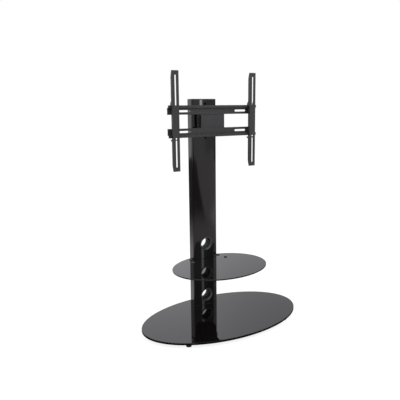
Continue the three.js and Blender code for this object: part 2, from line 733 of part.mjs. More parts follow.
// Tilt: bolt, knob and the head that carries the rails
function addTilt() {
  const axisY = columnFrontY + tiltY
  const boltEnd = yokeHalfWidth + knobBoreDepth - overrun
  const bolt = join(
    rod('x', tiltBoltRadius, yokeHalfWidth + boltEnd + weldSink, smallSides)
      .translate((boltEnd - yokeHalfWidth - weldSink) / 2, 0, 0),
    rod('x', tiltBoltHeadRadius, tiltBoltHeadHeight, hexSides)
      .translate(-yokeHalfWidth - tiltBoltHeadHeight / 2, 0, 0),
  )
  add('tilt_bolt', bolt, zincSteel, 0, axisY, mountHeight)

  const grip = Array.from({ length: knobLobes * knobStepsPerLobe }, (_, i) => {
    const angle = Math.PI * 2 * i / (knobLobes * knobStepsPerLobe)
    const radius = knobRadius + knobLobe * Math.cos(angle * knobLobes)
    return new THREE.Vector2(radius * Math.cos(angle), radius * Math.sin(angle))
  })
  const wing = sidePlate(grip, knobLength - knobHubLength)
    .translate((knobLength + knobHubLength) / 2, 0, 0)
  const hubLength = knobHubLength + weldSink
  const hub = rod('x', knobHubRadius, hubLength).translate(hubLength / 2, 0, 0)
  const bore = rod('x', tiltBoltRadius + runningGap, knobBoreDepth + overrun, smallSides)
    .translate((knobBoreDepth - overrun) / 2, 0, 0)
  add('tilt_knob', cut(join(wing, hub), bore), blackPlastic, yokeHalfWidth + runningGap, axisY, mountHeight)

  const face = uprightPlate(roundedBox(headPlateWidth, headPlateHeight, headPlateCorner), headPlateThickness)
    .translate(0, railBackY, 0)
  const earOutline = outline(
    corner(headPlateBackY - weldSink, -tiltEarRadius * tiltEarRootShare),
    corner(tiltY, -tiltEarRadius),
    arc(tiltY, 0, tiltEarRadius, -Math.PI / 2, Math.PI / 2, cornerSteps * 2),
    corner(headPlateBackY - weldSink, tiltEarRadius * tiltEarRootShare),
  )
  const earX = tiltEarInnerHalf + tiltEarThickness / 2
  const ears = [-1, 1].map((side) => moved(sidePlate(earOutline, tiltEarThickness), side * earX, 0, 0))
  const hole = rod('x', tiltBoltRadius + runningGap, headPlateWidth, smallSides).translate(0, tiltY, 0)
  add('tilt_head', cut(join(face, ...ears), hole), powderCoat, 0, columnFrontY, mountHeight)
}

// Rails: a web against the head, a ledge forward and a lip, with slots that lighten the web.
// The lower rail is the upper one turned over.
function addRails() {
  const section = outline(
    corner(railFrontY, railHalfHeight - railWall), corner(railBackY - railWall, railHalfHeight - railWall),
    corner(railBackY - railWall, -railHalfHeight), corner(railBackY, -railHalfHeight),
    corner(railBackY, railHalfHeight), corner(railFrontY + railWall, railHalfHeight),
    corner(railFrontY + railWall, railLipTop), corner(railFrontY, railLipTop),
  )
  const bar = sidePlate(section, railLength)
  const slot = uprightPlate(slotOutline(railSlotLength, railSlotHeight), railDepth)
    .translate(0, railFrontY + railWall, 0)
  const slotX = (railLength + headPlateWidth) / 4
  const rail = cut(bar, moved(slot, -slotX, 0, 0), moved(slot, slotX, 0, 0))
  add('rail_upper', rail, powderCoat, 0, columnFrontY, mountHeight + railSpacing / 2)
  const turnedOver = rail.clone().rotateY(Math.PI)
  add('rail_lower', turnedOver, powderCoat, 0, columnFrontY, mountHeight - railSpacing / 2)
}

// Arms: a channel with two long slots for the screen's screws. Its side flanges hook over the
// upper rail's lip, and a tab below the lower rail holds the lock screw.
function addArms() {
  const lipTop = railSpacing / 2 + railLipTop
  const lipBack = railFrontY + tongueFront
  const flangeBack = armFrontY + armDepth
  const tabTop = -lipTop - lockTabBelowLip
  const tabBottom = tabTop - lockTabThickness
  const tabBack = railFrontY + lockTabReach
  const end = armHeight / 2
  const noseBack = armFrontY + armNoseDepth
  const tongueBack = lipBack + hookTongue
  const tongueBottom = lipTop - railLipHeight + hookGap
  const flangeOutline = outline(
    corner(armFrontY, -end), corner(noseBack, -end), corner(flangeBack, -end + armNoseHeight),
    corner(flangeBack, tabBottom - armNoseDepth), corner(tabBack, tabBottom),
    corner(tabBack, tabTop), corner(flangeBack, tabTop), corner(flangeBack, lipTop + hookGap),
    corner(lipBack, lipTop + hookGap), corner(lipBack, tongueBottom),
    corner(tongueBack, tongueBottom), corner(tongueBack, lipTop + hookBridge),
    corner(flangeBack, lipTop + hookRoot), corner(flangeBack, end - armNoseHeight),
    corner(noseBack, end), corner(armFrontY, end),
  )
  const flangeX = (armWidth - armWall) / 2
  const flanges = [-1, 1].map((side) => moved(sidePlate(flangeOutline, armWall), side * flangeX, 0, 0))
  const web = block(armWidth, armWall, armHeight).translate(0, armFrontY + armWall / 2, 0)
  const tab = block(armWidth - armWall, tabBack - armFrontY, lockTabThickness)
    .translate(0, (tabBack + armFrontY) / 2, (tabTop + tabBottom) / 2)
  const slot = uprightPlate(slotOutline(armSlotWidth, armSlotLength), armWall + overrun * 2)
    .translate(0, armFrontY - overrun, 0)
  const slotZ = end - armSlotFromEnd - armSlotLength / 2
  const screwY = railFrontY + railDepth / 2
  const screwHole = rod('z', lockScrewRadius + runningGap, lockTabThickness + overrun * 2, smallSides)
    .translate(0, screwY, (tabTop + tabBottom) / 2)
  const slots = [moved(slot, 0, 0, slotZ), moved(slot, 0, 0, -slotZ)]
  const arm = cut(join(web, ...flanges, tab), ...slots, screwHole)

  const tip = tabTop + lockTabBelowLip + lockScrewRise - tabBottom
  const head = lockScrewHeadShares.map(([across, down]) => (
    [lockScrewHeadRadius * across, -lockScrewHeadHeight * down]
  ))
  const headTop = head.at(-1).at(-1)
  const screw = turned([
    [0, -lockScrewHeadHeight], ...head, [lockScrewRadius, headTop], [lockScrewRadius, tip], [0, tip],
  ], smallSides)
  for (const [name, side] of [['left', -1], ['right', 1]]) {
    const x = side * armSpacing / 2
    add(`arm_${name}`, arm, powderCoat, x, columnFrontY, mountHeight)
    add(`lock_screw_${name}`, screw, zincSteel, x, columnFrontY + screwY, mountHeight + tabBottom)
  }
}

addBase()
addColumn()
addShelf()
addCarriage()
addSwivel()
addTilt()
addRails()
addArms()

export default stand
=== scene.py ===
import json
import math

import bmesh
import bpy
from mathutils import Matrix, Vector

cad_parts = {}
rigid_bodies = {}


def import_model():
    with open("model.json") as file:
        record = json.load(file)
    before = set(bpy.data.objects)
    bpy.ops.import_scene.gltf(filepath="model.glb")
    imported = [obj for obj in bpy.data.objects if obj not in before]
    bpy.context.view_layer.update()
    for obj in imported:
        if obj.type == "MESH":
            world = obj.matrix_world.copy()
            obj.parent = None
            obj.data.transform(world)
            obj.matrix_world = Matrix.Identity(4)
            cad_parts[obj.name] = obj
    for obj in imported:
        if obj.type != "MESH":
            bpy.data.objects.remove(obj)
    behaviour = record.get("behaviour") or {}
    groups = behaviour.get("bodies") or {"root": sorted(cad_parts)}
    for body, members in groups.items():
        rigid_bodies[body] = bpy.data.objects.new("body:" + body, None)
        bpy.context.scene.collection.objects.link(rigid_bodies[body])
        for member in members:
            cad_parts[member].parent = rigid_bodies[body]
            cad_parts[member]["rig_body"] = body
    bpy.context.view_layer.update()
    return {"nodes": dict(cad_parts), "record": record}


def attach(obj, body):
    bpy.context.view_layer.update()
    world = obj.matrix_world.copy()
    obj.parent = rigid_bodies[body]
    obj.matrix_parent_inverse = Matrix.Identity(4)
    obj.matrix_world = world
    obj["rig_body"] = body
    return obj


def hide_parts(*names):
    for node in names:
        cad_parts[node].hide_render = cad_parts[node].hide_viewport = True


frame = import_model()
nodes = frame["nodes"]
scene = bpy.context.scene
print("frame loaded:", len(nodes), "nodes")

# what most pieces share: lengths in metres, angles in degrees
common = dict(
    seatGap=0.0003, softEdge=0.0004, plateEdge=0.0006, mergeGap=0.000001, hair=0.0000001, ringSteps=96,
    smallSteps=48, shaftSteps=32, arcSteps=16, slabSteps=8, cornerSteps=5, rimSteps=4, edgeSteps=3,
    sharpAngle=28, cornerAngle=30, rimAngle=60, normalWeight=100,
)
overrun = 0.004  # how far a cutting tool reaches past its part
overlap = 0.0005  # how deep joined parts reach into each other
origin = (0, 0, 0)
axes = dict(x=Vector((1, 0, 0)), y=Vector((0, 1, 0)), z=Vector((0, 0, 1)))
cornerNames = [("front_left", -1, -1), ("front_right", 1, -1), ("back_left", -1, 1), ("back_right", 1, 1)]
handNames = [("left", -1), ("right", 1)]
rowNames = [("lower", -1), ("upper", 1)]


# a new shader node: a socket's value is set, or linked where it comes from another node
def nodeFed(tree, kind, sockets, operation=None):
    made = tree.nodes.new(kind)
    if operation:
        made.operation = operation
    for name, value in sockets.items():
        if isinstance(value, bpy.types.NodeSocket):
            tree.links.new(value, made.inputs[name])
        else:
            made.inputs[name].default_value = value
    return made


def nodeMaterial(name):
    mat = bpy.data.materials.new(name)
    mat.use_nodes = True
    return mat, mat.node_tree, mat.node_tree.nodes["Principled BSDF"]


def placeIn(tree, space="Object"):
    coords = tree.nodes.new("ShaderNodeTexCoord").outputs[space]
    return coords, nodeFed(tree, "ShaderNodeSeparateXYZ", {"Vector": coords}).outputs


def mathNode(tree, operation, first, second):
    return nodeFed(tree, "ShaderNodeMath", {0: first, 1: second}, operation).outputs["Value"]


def product(tree, first, *others):
    for other in others:
        first = mathNode(tree, "MULTIPLY", first, other)
    return first


# a value taken from one range to another, by a smooth step unless said otherwise
def fade(tree, value, limits, low=0.0, high=1.0, shape="SMOOTHSTEP"):
    step = nodeFed(tree, "ShaderNodeMapRange", {
        "Value": value, "From Min": limits[0], "From Max": limits[1], "To Min": low, "To Max": high})
    step.interpolation_type = shape
    return step.outputs["Result"]


def noiseFrom(tree, coords, scale, detail, stretch=(1, 1, 1)):
    mapping = nodeFed(tree, "ShaderNodeMapping", {"Vector": coords, "Scale": stretch})
    return nodeFed(tree, "ShaderNodeTexNoise", {
        "Vector": mapping.outputs["Vector"], "Scale": scale, "Detail": detail}).outputs["Fac"]


surface = dict(colourDetail=3, roughDetail=4, span=(0.3, 0.7), ior=1.5)


# a finish: colour drift, a roughness that is not quite even, and a fine surface relief
def finish(name, dark, light, rough, roughScale, colourScale=6, grain=None, metallic=0.0):
    mat, tree, shader = nodeMaterial(name)
    coords = tree.nodes.new("ShaderNodeTexCoord").outputs["Object"]
    drift = noiseFrom(tree, coords, colourScale, surface["colourDetail"])
    ramp = nodeFed(tree, "ShaderNodeValToRGB", {"Fac": drift})
    for stop, place, colour in zip(ramp.color_ramp.elements, surface["span"], (dark, light)):
        stop.position = place
        stop.color = (*colour, 1)
    tree.links.new(ramp.outputs["Color"], shader.inputs["Base Color"])
    patches = noiseFrom(tree, coords, roughScale, surface["roughDetail"])
    tree.links.new(fade(tree, patches, surface["span"], *rough, "LINEAR"), shader.inputs["Roughness"])
    shader.inputs["Metallic"].default_value = metallic
    shader.inputs["IOR"].default_value = surface["ior"]
    if grain:
        scale, detail, height, *stretch = grain
        relief = noiseFrom(tree, coords, scale, detail, *stretch)
        bump = nodeFed(tree, "ShaderNodeBump", {"Height": relief, "Distance": height})
        tree.links.new(bump.outputs["Normal"], shader.inputs["Normal"])
    return mat


# inside the tube the metal is bare, so the hollow looks grey through the cable holes
def bareInside(mat, halfWidth, front, back, colour):
    tree = mat.node_tree
    paint = tree.nodes["Principled BSDF"].inputs["Base Color"]
    place = placeIn(tree)[1]
    across = mathNode(tree, "ABSOLUTE", place["X"], 0.0)
    inside = product(tree, mathNode(tree, "LESS_THAN", across, halfWidth),
                     mathNode(tree, "GREATER_THAN", place["Y"], front),
                     mathNode(tree, "LESS_THAN", place["Y"], back))
    mix = nodeFed(tree, "ShaderNodeMixRGB", {
        "Fac": inside, "Color1": paint.links[0].from_socket, "Color2": (*colour, 1)})
    tree.links.new(mix.outputs["Color"], paint)


def camel(nodeName):
    first, *rest = nodeName.split("_")
    return first + "".join(word.capitalize() for word in rest)


# the grain is a noise's scale and detail, the height of its relief, and at times its stretch
looks = dict(
    black_glass=dict(
        dark=(0.0032, 0.0026, 0.0028), light=(0.0048, 0.004, 0.0043), rough=(0.012, 0.03),
        colourScale=3, roughScale=9),
    column_gloss=dict(
        dark=(0.0036, 0.0028, 0.0031), light=(0.0055, 0.0046, 0.0049), rough=(0.05, 0.085),
        colourScale=4, roughScale=12, grain=(60, 2, 0.00002, (1, 1, 0.2))),
    black_plastic=dict(
        dark=(0.022, 0.022, 0.023), light=(0.032, 0.032, 0.034), rough=(0.3, 0.42),
        roughScale=60, grain=(2200, 2, 0.00004)),
    knob_plastic=dict(
        dark=(0.009, 0.009, 0.01), light=(0.014, 0.014, 0.015), rough=(0.38, 0.5),
        roughScale=80, grain=(1800, 3, 0.00006)),
    foot_disc_plastic=dict(
        dark=(0.008, 0.008, 0.009), light=(0.014, 0.014, 0.015), rough=(0.3, 0.4),
        roughScale=90, grain=(2000, 2, 0.00004)),
    black_rubber=dict(
        dark=(0.011, 0.011, 0.011), light=(0.02, 0.02, 0.019), rough=(0.7, 0.9),
        roughScale=50, grain=(1500, 4, 0.00012)),
    powder_coat=dict(
        dark=(0.012, 0.012, 0.013), light=(0.019, 0.019, 0.021), rough=(0.42, 0.56),
        roughScale=90, grain=(1400, 3, 0.00012)),
    zinc_steel=dict(
        dark=(0.42, 0.43, 0.45), light=(0.62, 0.62, 0.63), rough=(0.24, 0.42), metallic=1.0,
        colourScale=160, roughScale=240, grain=(900, 2, 0.00002)),
    nylon=dict(
        dark=(0.62, 0.6, 0.55), light=(0.7, 0.69, 0.64), rough=(0.42, 0.55),
        roughScale=120, grain=(900, 2, 0.00003)),
)
tubeInside = dict(halfWidth=0.058, front=0.1455, back=0.1945, colour=(0.2, 0.2, 0.2))
finishes = {slotName: finish(camel(slotName) + "Finish", **look) for slotName, look in looks.items()}
bareInside(finishes["column_gloss"], **tubeInside)
nodeSlot = {part["node"]: part["material_slot"] for part in frame["record"]["subparts"]}
for nodeName, cadObject in nodes.items():
    for slot in cadObject.material_slots:
        slot.material = finishes[nodeSlot[nodeName]]
print("finishes ready:", len(finishes))


def linked(name, data):
    made = bpy.data.objects.new(name, data)
    scene.collection.objects.link(made)
    return made


def objectFrom(bm, name):
    mesh = bpy.data.meshes.new(name)
    bm.to_mesh(mesh)
    bm.free()
    return linked(name, mesh), mesh


# merges the hair-thin edges that a boolean leaves; split first cuts up faces that would fold over
def mended(bm, split):
    if split:
        bmesh.ops.triangulate(bm, faces=[face for face in bm.faces if len(face.verts) > 4])
    bmesh.ops.remove_doubles(bm, verts=bm.verts, dist=common["mergeGap"])
    bmesh.ops.dissolve_degenerate(bm, dist=common["mergeGap"], edges=bm.edges)


# turns a finished bmesh into the piece that stands for a node, in its place and on its body
def pieceFor(bm, nodeName, split=False):
    mended(bm, split)
    bmesh.ops.recalc_face_normals(bm, faces=bm.faces)
    piece, mesh = objectFrom(bm, camel(nodeName))
    mesh.shade_smooth()
    mesh.set_sharp_from_angle(angle=math.radians(common["sharpAngle"]))
    mesh.materials.append(finishes[nodeSlot[nodeName]])
    evenShade = piece.modifiers.new("evenShade", "WEIGHTED_NORMAL")  # keeps large flats flat beside bevels
    evenShade.keep_sharp = True
    evenShade.weight = common["normalWeight"]
    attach(piece, nodes[nodeName]["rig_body"])
    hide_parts(nodeName)


def cutterFrom(bm):
    bmesh.ops.recalc_face_normals(bm, faces=bm.faces)
    return objectFrom(bm, "cutter")[0]


# cuts the tools out of a bmesh, or joins them to it, and gives back a new bmesh
def carved(bm, tools, operation="DIFFERENCE"):
    blank = cutterFrom(bm)
    toolObjects = [cutterFrom(tool) for tool in tools]
    for toolObject in toolObjects:
        step = blank.modifiers.new("carve", "BOOLEAN")
        step.operation = operation
        step.solver = "EXACT"
        step.object = toolObject
    evaluated = blank.evaluated_get(bpy.context.evaluated_depsgraph_get())
    result = bmesh.new()
    result.from_mesh(evaluated.to_mesh())
    evaluated.to_mesh_clear()
    for done in [blank, *toolObjects]:
        mesh = done.data
        bpy.data.objects.remove(done)
        bpy.data.meshes.remove(mesh)
    return result


def joinedThenCut(bm, parts, tools):
    return carved(carved(bm, parts, "UNION"), tools)


def moved(bm, place):
    bmesh.ops.translate(bm, vec=place, verts=bm.verts)
    return bm


def itemsOf(kind, items):
    return [item for item in items if isinstance(item, kind)]


def extruded(bm, faces, height):
    grown = bmesh.ops.extrude_face_region(bm, geom=faces)["geom"]
    bmesh.ops.translate(bm, vec=(0, 0, height), verts=itemsOf(bmesh.types.BMVert, grown))


# a flat face hollowed to a wall's width, and raised to its height
def walled(bm, face, wall, height):
    bmesh.ops.inset_region(bm, faces=[face], thickness=wall, depth=0, use_boundary=True,
                           use_even_offset=True)
    bmesh.ops.delete(bm, geom=[face], context="FACES_ONLY")
    extruded(bm, bm.faces[:], height)


def boxOf(low, high):
    bm = bmesh.new()
    bmesh.ops.create_cube(bm, size=1)
    bmesh.ops.scale(bm, vec=[b - a for a, b in zip(low, high)], verts=bm.verts)
    return moved(bm, [(a + b) / 2 for a, b in zip(low, high)])


def rounded(bm, edges, width, segments=common["edgeSteps"]):
    bmesh.ops.bevel(bm, geom=edges, offset=width, offset_type="OFFSET", segments=segments, profile=0.5,
                    affect="EDGES", material=-1, clamp_overlap=True)


def edgesAtHeight(bm, *heights):
    return [edge for edge in bm.edges if any(
        all(abs(v.co.z - height) < common["mergeGap"] for v in edge.verts) for height in heights)]


def uprightEdges(bm):
    return [edge for edge in bm.edges if abs(edge.verts[0].co.z - edge.verts[1].co.z) > common["mergeGap"]
            and edge.calc_face_angle(0) > math.radians(common["cornerAngle"])]


# a straight rod along an axis, from one end to the other
def rod(axis, radius, start, end, centre=origin, sides=common["smallSteps"]):
    bm = bmesh.new()
    bmesh.ops.create_cone(bm, cap_ends=True, cap_tris=False, segments=sides, radius1=radius,
                          radius2=radius, depth=end - start)
    moved(bm, (0, 0, (start + end) / 2))
    if axis != "z":
        turn = Matrix.Rotation(math.radians(90 if axis == "x" else -90), 3, "Y" if axis == "x" else "X")
        bmesh.ops.rotate(bm, cent=origin, matrix=turn, verts=bm.verts)
    return moved(bm, centre)


# upright holes through a sheet between two heights
def holesThrough(places, radius, low, high):
    return [rod("z", radius, low - overrun, high + overrun, (x, y, 0)) for x, y in places]


# a turned piece: the profile's points are (radius, along), spun about the axis through the centre
def turned(profile, axis, centre=origin, steps=common["ringSteps"], closed=False):
    bm = bmesh.new()
    outwards = axes["z" if axis == "x" else "x"]
    verts = [bm.verts.new(outwards * radius + axes[axis] * along) for radius, along in profile]
    edges = [bm.edges.new(pair) for pair in zip(verts, verts[1:])]
    if closed:
        edges.append(bm.edges.new((verts[-1], verts[0])))
    bmesh.ops.spin(bm, geom=verts + edges, cent=origin, axis=axes[axis], angle=math.tau, steps=steps,
                   use_merge=True)
    bmesh.ops.remove_doubles(bm, verts=bm.verts, dist=common["hair"])
    return moved(bm, centre)


# turns a piece made along z so that its head points in a direction
def aimed(bm, direction, place):
    turn = axes["z"].rotation_difference(Vector(direction)).to_matrix()
    bmesh.ops.rotate(bm, cent=origin, matrix=turn, verts=bm.verts)
    return moved(bm, place)


# shares of a hexagon's radius, and of a thread's pitch
hexagon = dict(face=0.86, reach=1.02, chamfer=0.1)
thread = dict(depth=0.5, crest=(0.42, 0.58), turnsBelow=2, spareTurns=4, overlap=0.4,
              rodOverlap=0.013, clearance=0.00003)


# a six-sided head standing on height 0, its corners turned off as on a real bolt
def hexHead(radius, height, bothEnds=False):
    face, reach, drop = (radius * hexagon[key] for key in ("face", "reach", "chamfer"))
    lens = turned([(0, 0), (face if bothEnds else reach, 0), (reach, drop), (reach, height - drop),
                   (face, height), (0, height)], "z", steps=common["smallSteps"])
    return carved(rod("z", radius, 0, height, sides=6), [lens], "INTERSECT")


# a real screw thread: a tooth profile spun upwards by one pitch a turn, cut flat at both ends
def threadedShaft(radius, pitch, low, high):
    bm, steps, verts = bmesh.new(), common["shaftSteps"], []
    tooth = [(radius - pitch * thread["depth"], 0), *((radius, up) for up in thread["crest"])]
    for turn in range(math.ceil((high - low) / pitch) + thread["spareTurns"]):
        foot = low + (turn - thread["turnsBelow"]) * pitch
        verts += [bm.verts.new((out, 0, foot + pitch * up)) for out, up in tooth]
    edges = [bm.edges.new(pair) for pair in zip(verts, verts[1:])]
    bmesh.ops.spin(bm, geom=verts + edges, cent=origin, axis=axes["z"], dvec=(0, 0, pitch / steps),
                   angle=math.tau, steps=steps, use_merge=False)
    bmesh.ops.remove_doubles(bm, verts=bm.verts, dist=common["mergeGap"])
    for height, upwards in ((low, False), (high, True)):
        bmesh.ops.bisect_plane(bm, geom=bm.verts[:] + bm.edges[:] + bm.faces[:], dist=common["hair"],
                               plane_co=(0, 0, height), plane_no=axes["z"], clear_outer=upwards,
                               clear_inner=not upwards)
    bmesh.ops.holes_fill(bm, edges=bm.edges[:], sides=0)
    return bm


# the plain and the threaded length of a bolt, below its head
def shaftParts(spec):
    pitch = spec["pitch"]
    return [rod("z", spec["shaft"], -spec["plain"] - pitch * thread["rodOverlap"], spec["headHeight"] / 2,
                sides=common["shaftSteps"]),
            threadedShaft(spec["shaft"] - thread["clearance"], pitch, -spec["length"],
                          -spec["plain"] + pitch * thread["overlap"])]


# an arc of points about a centre, from the last point of an outline
def sweptBy(bm, vert, centre, angle, steps):
    swept = bmesh.ops.spin(bm, geom=[vert], cent=(*centre, 0), axis=axes["z"], angle=angle, steps=steps,
                           use_merge=False)
    return itemsOf(bmesh.types.BMVert, swept["geom_last"])[0]


def stepTo(bm, vert, x, y):
    grown = bmesh.ops.extrude_vert_indiv(bm, verts=[vert])["verts"][0]
    grown.co = (x, y, vert.co.z)
    return grown


def closedFace(bm):
    bmesh.ops.remove_doubles(bm, verts=bm.verts, dist=common["mergeGap"])
    ends = [v for v in bm.verts if len(v.link_edges) == 1]
    if len(ends) == 2:
        bm.edges.new(ends)
    return bmesh.ops.contextual_create(bm, geom=bm.edges[:])["faces"][0]


# a plate on the ground from a run of moves: (x, y) is a line to a point, (x, y, angle) an arc about it
def plateFrom(moves, thickness, corner=0.0, edge=common["softEdge"]):
    bm = bmesh.new()
    vert = bm.verts.new((*moves[0], 0))
    for x, y, *angle in moves[1:]:
        if angle:
            vert = sweptBy(bm, vert, (x, y), math.radians(angle[0]), common["arcSteps"])
        else:
            vert = stepTo(bm, vert, x, y)
    extruded(bm, [closedFace(bm)], thickness)
    if corner:
        rounded(bm, uprightEdges(bm), corner, common["cornerSteps"])
    if edge:
        rounded(bm, edgesAtHeight(bm, 0, thickness), edge)
    return bm


def roundedSlab(width, depth, thickness, corner):
    bm = boxOf((-width / 2, -depth / 2, 0), (width / 2, depth / 2, thickness))
    rounded(bm, uprightEdges(bm), corner, common["slabSteps"])
    rounded(bm, edgesAtHeight(bm, 0, thickness), common["plateEdge"])
    return bm


# stands a plate up: across x its outline lies in Y and Z, across y in X and Z with its back at place
def standing(bm, axis, place):
    rows = ((0, 0, 1), (1, 0, 0), (0, 1, 0)) if axis == "x" else ((1, 0, 0), (0, 0, -1), (0, 1, 0))
    bmesh.ops.rotate(bm, cent=origin, matrix=Matrix(rows), verts=bm.verts)
    return moved(bm, place)


# a round-ended tool for a slot through a wall that faces the front, from back to front
def slotTool(width, height, back, front, x, z):
    half = (max(width, height) - min(width, height)) / 2
    end = min(width, height) / 2
    if height > width:
        moves = [(end, -half), (end, half), (0, half, 180), (-end, -half), (0, -half, 180)]
    else:
        moves = [(-half, -end), (half, -end), (half, 0, 180), (-half, end), (-half, 0, 180)]
    return standing(plateFrom(moves, back - front, edge=0), "y", (x, back, z))


column = dict(
    width=0.132, depth=0.058, wall=0.0026, bow=0.008, frontY=0.138, frontCorner=0.014, backCorner=0.010,
    bottom=0.0275, top=1.036, bowSteps=72, cornerSteps=8, holeRadius=0.030, holeHeights=(0.078, 0.344),
    slotWidth=0.009, slotHeight=0.169, slotDepth=0.008, bossRadius=0.007, bossInset=0.0005,
    boreRadius=0.0027, bossX=0.0576, bossSetbacks=(0.017, 0.044), screwY=0.1653,
    screwHeights=(0.240, 0.214), screwRadius=0.003,
)
bowRadius = (column["width"] ** 2 / 4 + column["bow"] ** 2) / (2 * column["bow"])
cornerX = column["width"] / 2 - column["frontCorner"]
cornerY = bowRadius - math.sqrt((bowRadius - column["frontCorner"]) ** 2 - cornerX ** 2)
columnBack = column["frontY"] + column["depth"]
bossPlaces = [(side * column["bossX"], column["frontY"] + setback)
              for setback in column["bossSetbacks"] for side in (-1, 1)]


def bowAt(x):
    return bowRadius - math.sqrt(bowRadius ** 2 - x ** 2)


# the closed outline of the column, moved out by grow, as one face at a given height
def columnFace(bm, height, grow=0.0):
    c = column
    frontAngle = math.atan2(cornerY - bowRadius, cornerX)
    start, radius, bowY = math.pi - frontAngle, bowRadius + grow, c["frontY"] + bowRadius
    half, sideY, steps = c["width"] / 2 + grow, c["frontY"] + cornerY, c["cornerSteps"]
    backX, backY = c["width"] / 2 - c["backCorner"], columnBack - c["backCorner"]
    vert = bm.verts.new((radius * math.cos(start), bowY + radius * math.sin(start), height))
    vert = sweptBy(bm, vert, (0, bowY), math.pi + 2 * frontAngle, c["bowSteps"])
    vert = sweptBy(bm, vert, (cornerX, sideY), -frontAngle, steps)
    vert = stepTo(bm, vert, half, backY)
    vert = sweptBy(bm, vert, (backX, backY), math.pi / 2, steps)
    vert = stepTo(bm, vert, -backX, columnBack + grow)
    vert = sweptBy(bm, vert, (-backX, backY), math.pi / 2, steps)
    vert = stepTo(bm, vert, -half, sideY)
    sweptBy(bm, vert, (-cornerX, sideY), -frontAngle, steps)
    return closedFace(bm)


def columnPrism(bottom, top, grow=0.0):
    bm = bmesh.new()
    extruded(bm, [columnFace(bm, bottom, grow)], top - bottom)
    return bm


# the room that a sheet leaves for the column, open to the back
def columnRoom(bottom, top, gap, halfWidth):
    low, high = bottom - overrun, top + overrun
    front, depth = column["frontY"], column["depth"]
    return [columnPrism(low, high, gap),
            boxOf((-halfWidth, front + depth / 2, low), (halfWidth, front + depth * 2, high))]


base = dict(width=0.800, depth=0.470, bottom=0.016, top=0.026, edge=0.0012, sides=288, centreY=0.0,
            boltRadius=0.0035)
shelf = dict(width=0.470, depth=0.356, bottom=0.263, top=0.269, edge=0.0011, sides=224, centreY=0.011,
             notchGap=0.002, boltRadius=0.0035, flatAngle=0.2,
             boltPlaces=dict(front_left=(-0.092, 0.108), front_right=(0.092, 0.108),
                             back_left=(-0.078, 0.157), back_right=(0.078, 0.157)))
# what the mounting head's pieces share
mount = dict(height=0.940, plateFront=0.129, boltPitch=0.080, boltHole=0.0045, boltReach=(0.10, 0.16),
             earSpan=0.044, earThickness=0.004, swivelY=0.112, swivelHole=0.00625, tiltY=0.084,
             tiltHole=0.00425, pinReach=0.05)


def ovalSlab(spec):
    bm = bmesh.new()
    bmesh.ops.create_circle(bm, cap_ends=True, cap_tris=False, segments=spec["sides"], radius=0.5)
    bmesh.ops.scale(bm, vec=(spec["width"], spec["depth"], 1), verts=bm.verts)
    moved(bm, (0, spec["centreY"], spec["bottom"]))
    extruded(bm, bm.faces[:], spec["top"] - spec["bottom"])
    return bm


# the polished edge follows every rim, the notch's too; then come the bolt holes
def glassFrom(bm, spec, places, nodeName):
    rims = [edge for edge in edgesAtHeight(bm, spec["bottom"], spec["top"])
            if len(edge.link_faces) == 2 and edge.calc_face_angle(0) > math.radians(common["rimAngle"])]
    rounded(bm, rims, spec["edge"], common["rimSteps"])
    pieceFor(carved(bm, holesThrough(places, spec["boltRadius"], spec["bottom"], spec["top"])), nodeName)


glassFrom(ovalSlab(base), base, bossPlaces, "base_glass")
notch = columnRoom(shelf["bottom"], shelf["top"], shelf["notchGap"], column["width"] / 2 + shelf["notchGap"])
shelfSlab = carved(ovalSlab(shelf), notch)
bmesh.ops.dissolve_limit(shelfSlab, angle_limit=math.radians(shelf["flatAngle"]), verts=shelfSlab.verts,
                         edges=shelfSlab.edges)
glassFrom(shelfSlab, shelf, shelf["boltPlaces"].values(), "shelf_glass")
print("glass made")


def columnTube():
    c = column
    bm = bmesh.new()
    walled(bm, columnFace(bm, c["bottom"]), c["wall"], c["top"] - c["bottom"])
    # the screw channels stay behind the skin
    bosses = [carved(rod("z", c["bossRadius"], c["bottom"], c["top"], (x, y, 0)),
                     [columnPrism(c["bottom"], c["top"], -c["bossInset"])], "INTERSECT")
              for x, y in bossPlaces]
    front, back = c["frontY"] - overrun, columnBack + overrun
    half = c["width"] / 2 + overrun
    tools = holesThrough(bossPlaces, c["boreRadius"], c["bottom"], c["top"])
    tools += [rod("y", c["holeRadius"], front, back, (0, 0, z), common["ringSteps"])
              for z in c["holeHeights"]]
    tools += [rod("x", c["screwRadius"], -half, half, (0, c["screwY"], z)) for z in c["screwHeights"]]
    tools.append(slotTool(c["slotWidth"], c["slotHeight"], c["frontY"] + c["slotDepth"], front, 0,
                          mount["height"]))
    return joinedThenCut(bm, bosses, tools)


pieceFor(columnTube(), "column_shell")

cap = dict(bottom=1.036, top=1.040, edge=0.0012, skirtWidth=0.084, skirtWall=0.0024, skirtDrop=0.0065,
           skirtOverlap=0.001, skirtFront=0.1446, skirtBack=0.1931)
capPlate = columnPrism(cap["bottom"], cap["top"])
rounded(capPlate, edgesAtHeight(capPlate, cap["top"]), cap["edge"], common["rimSteps"])
skirt = bmesh.new()
bmesh.ops.create_grid(skirt, x_segments=1, y_segments=1, size=0.5)
bmesh.ops.scale(skirt, vec=(cap["skirtWidth"], cap["skirtBack"] - cap["skirtFront"], 1), verts=skirt.verts)
walled(skirt, skirt.faces[:][0], cap["skirtWall"], cap["skirtDrop"] + cap["skirtOverlap"])
moved(skirt, (0, (cap["skirtFront"] + cap["skirtBack"]) / 2, cap["bottom"] - cap["skirtDrop"]))
pieceFor(carved(capPlate, [skirt], "UNION"), "column_cap")

gasketHoles = holesThrough(bossPlaces, base["boltRadius"], base["top"], column["bottom"])
pieceFor(carved(columnPrism(base["top"], column["bottom"]), gasketHoles), "column_gasket")
print("column made")

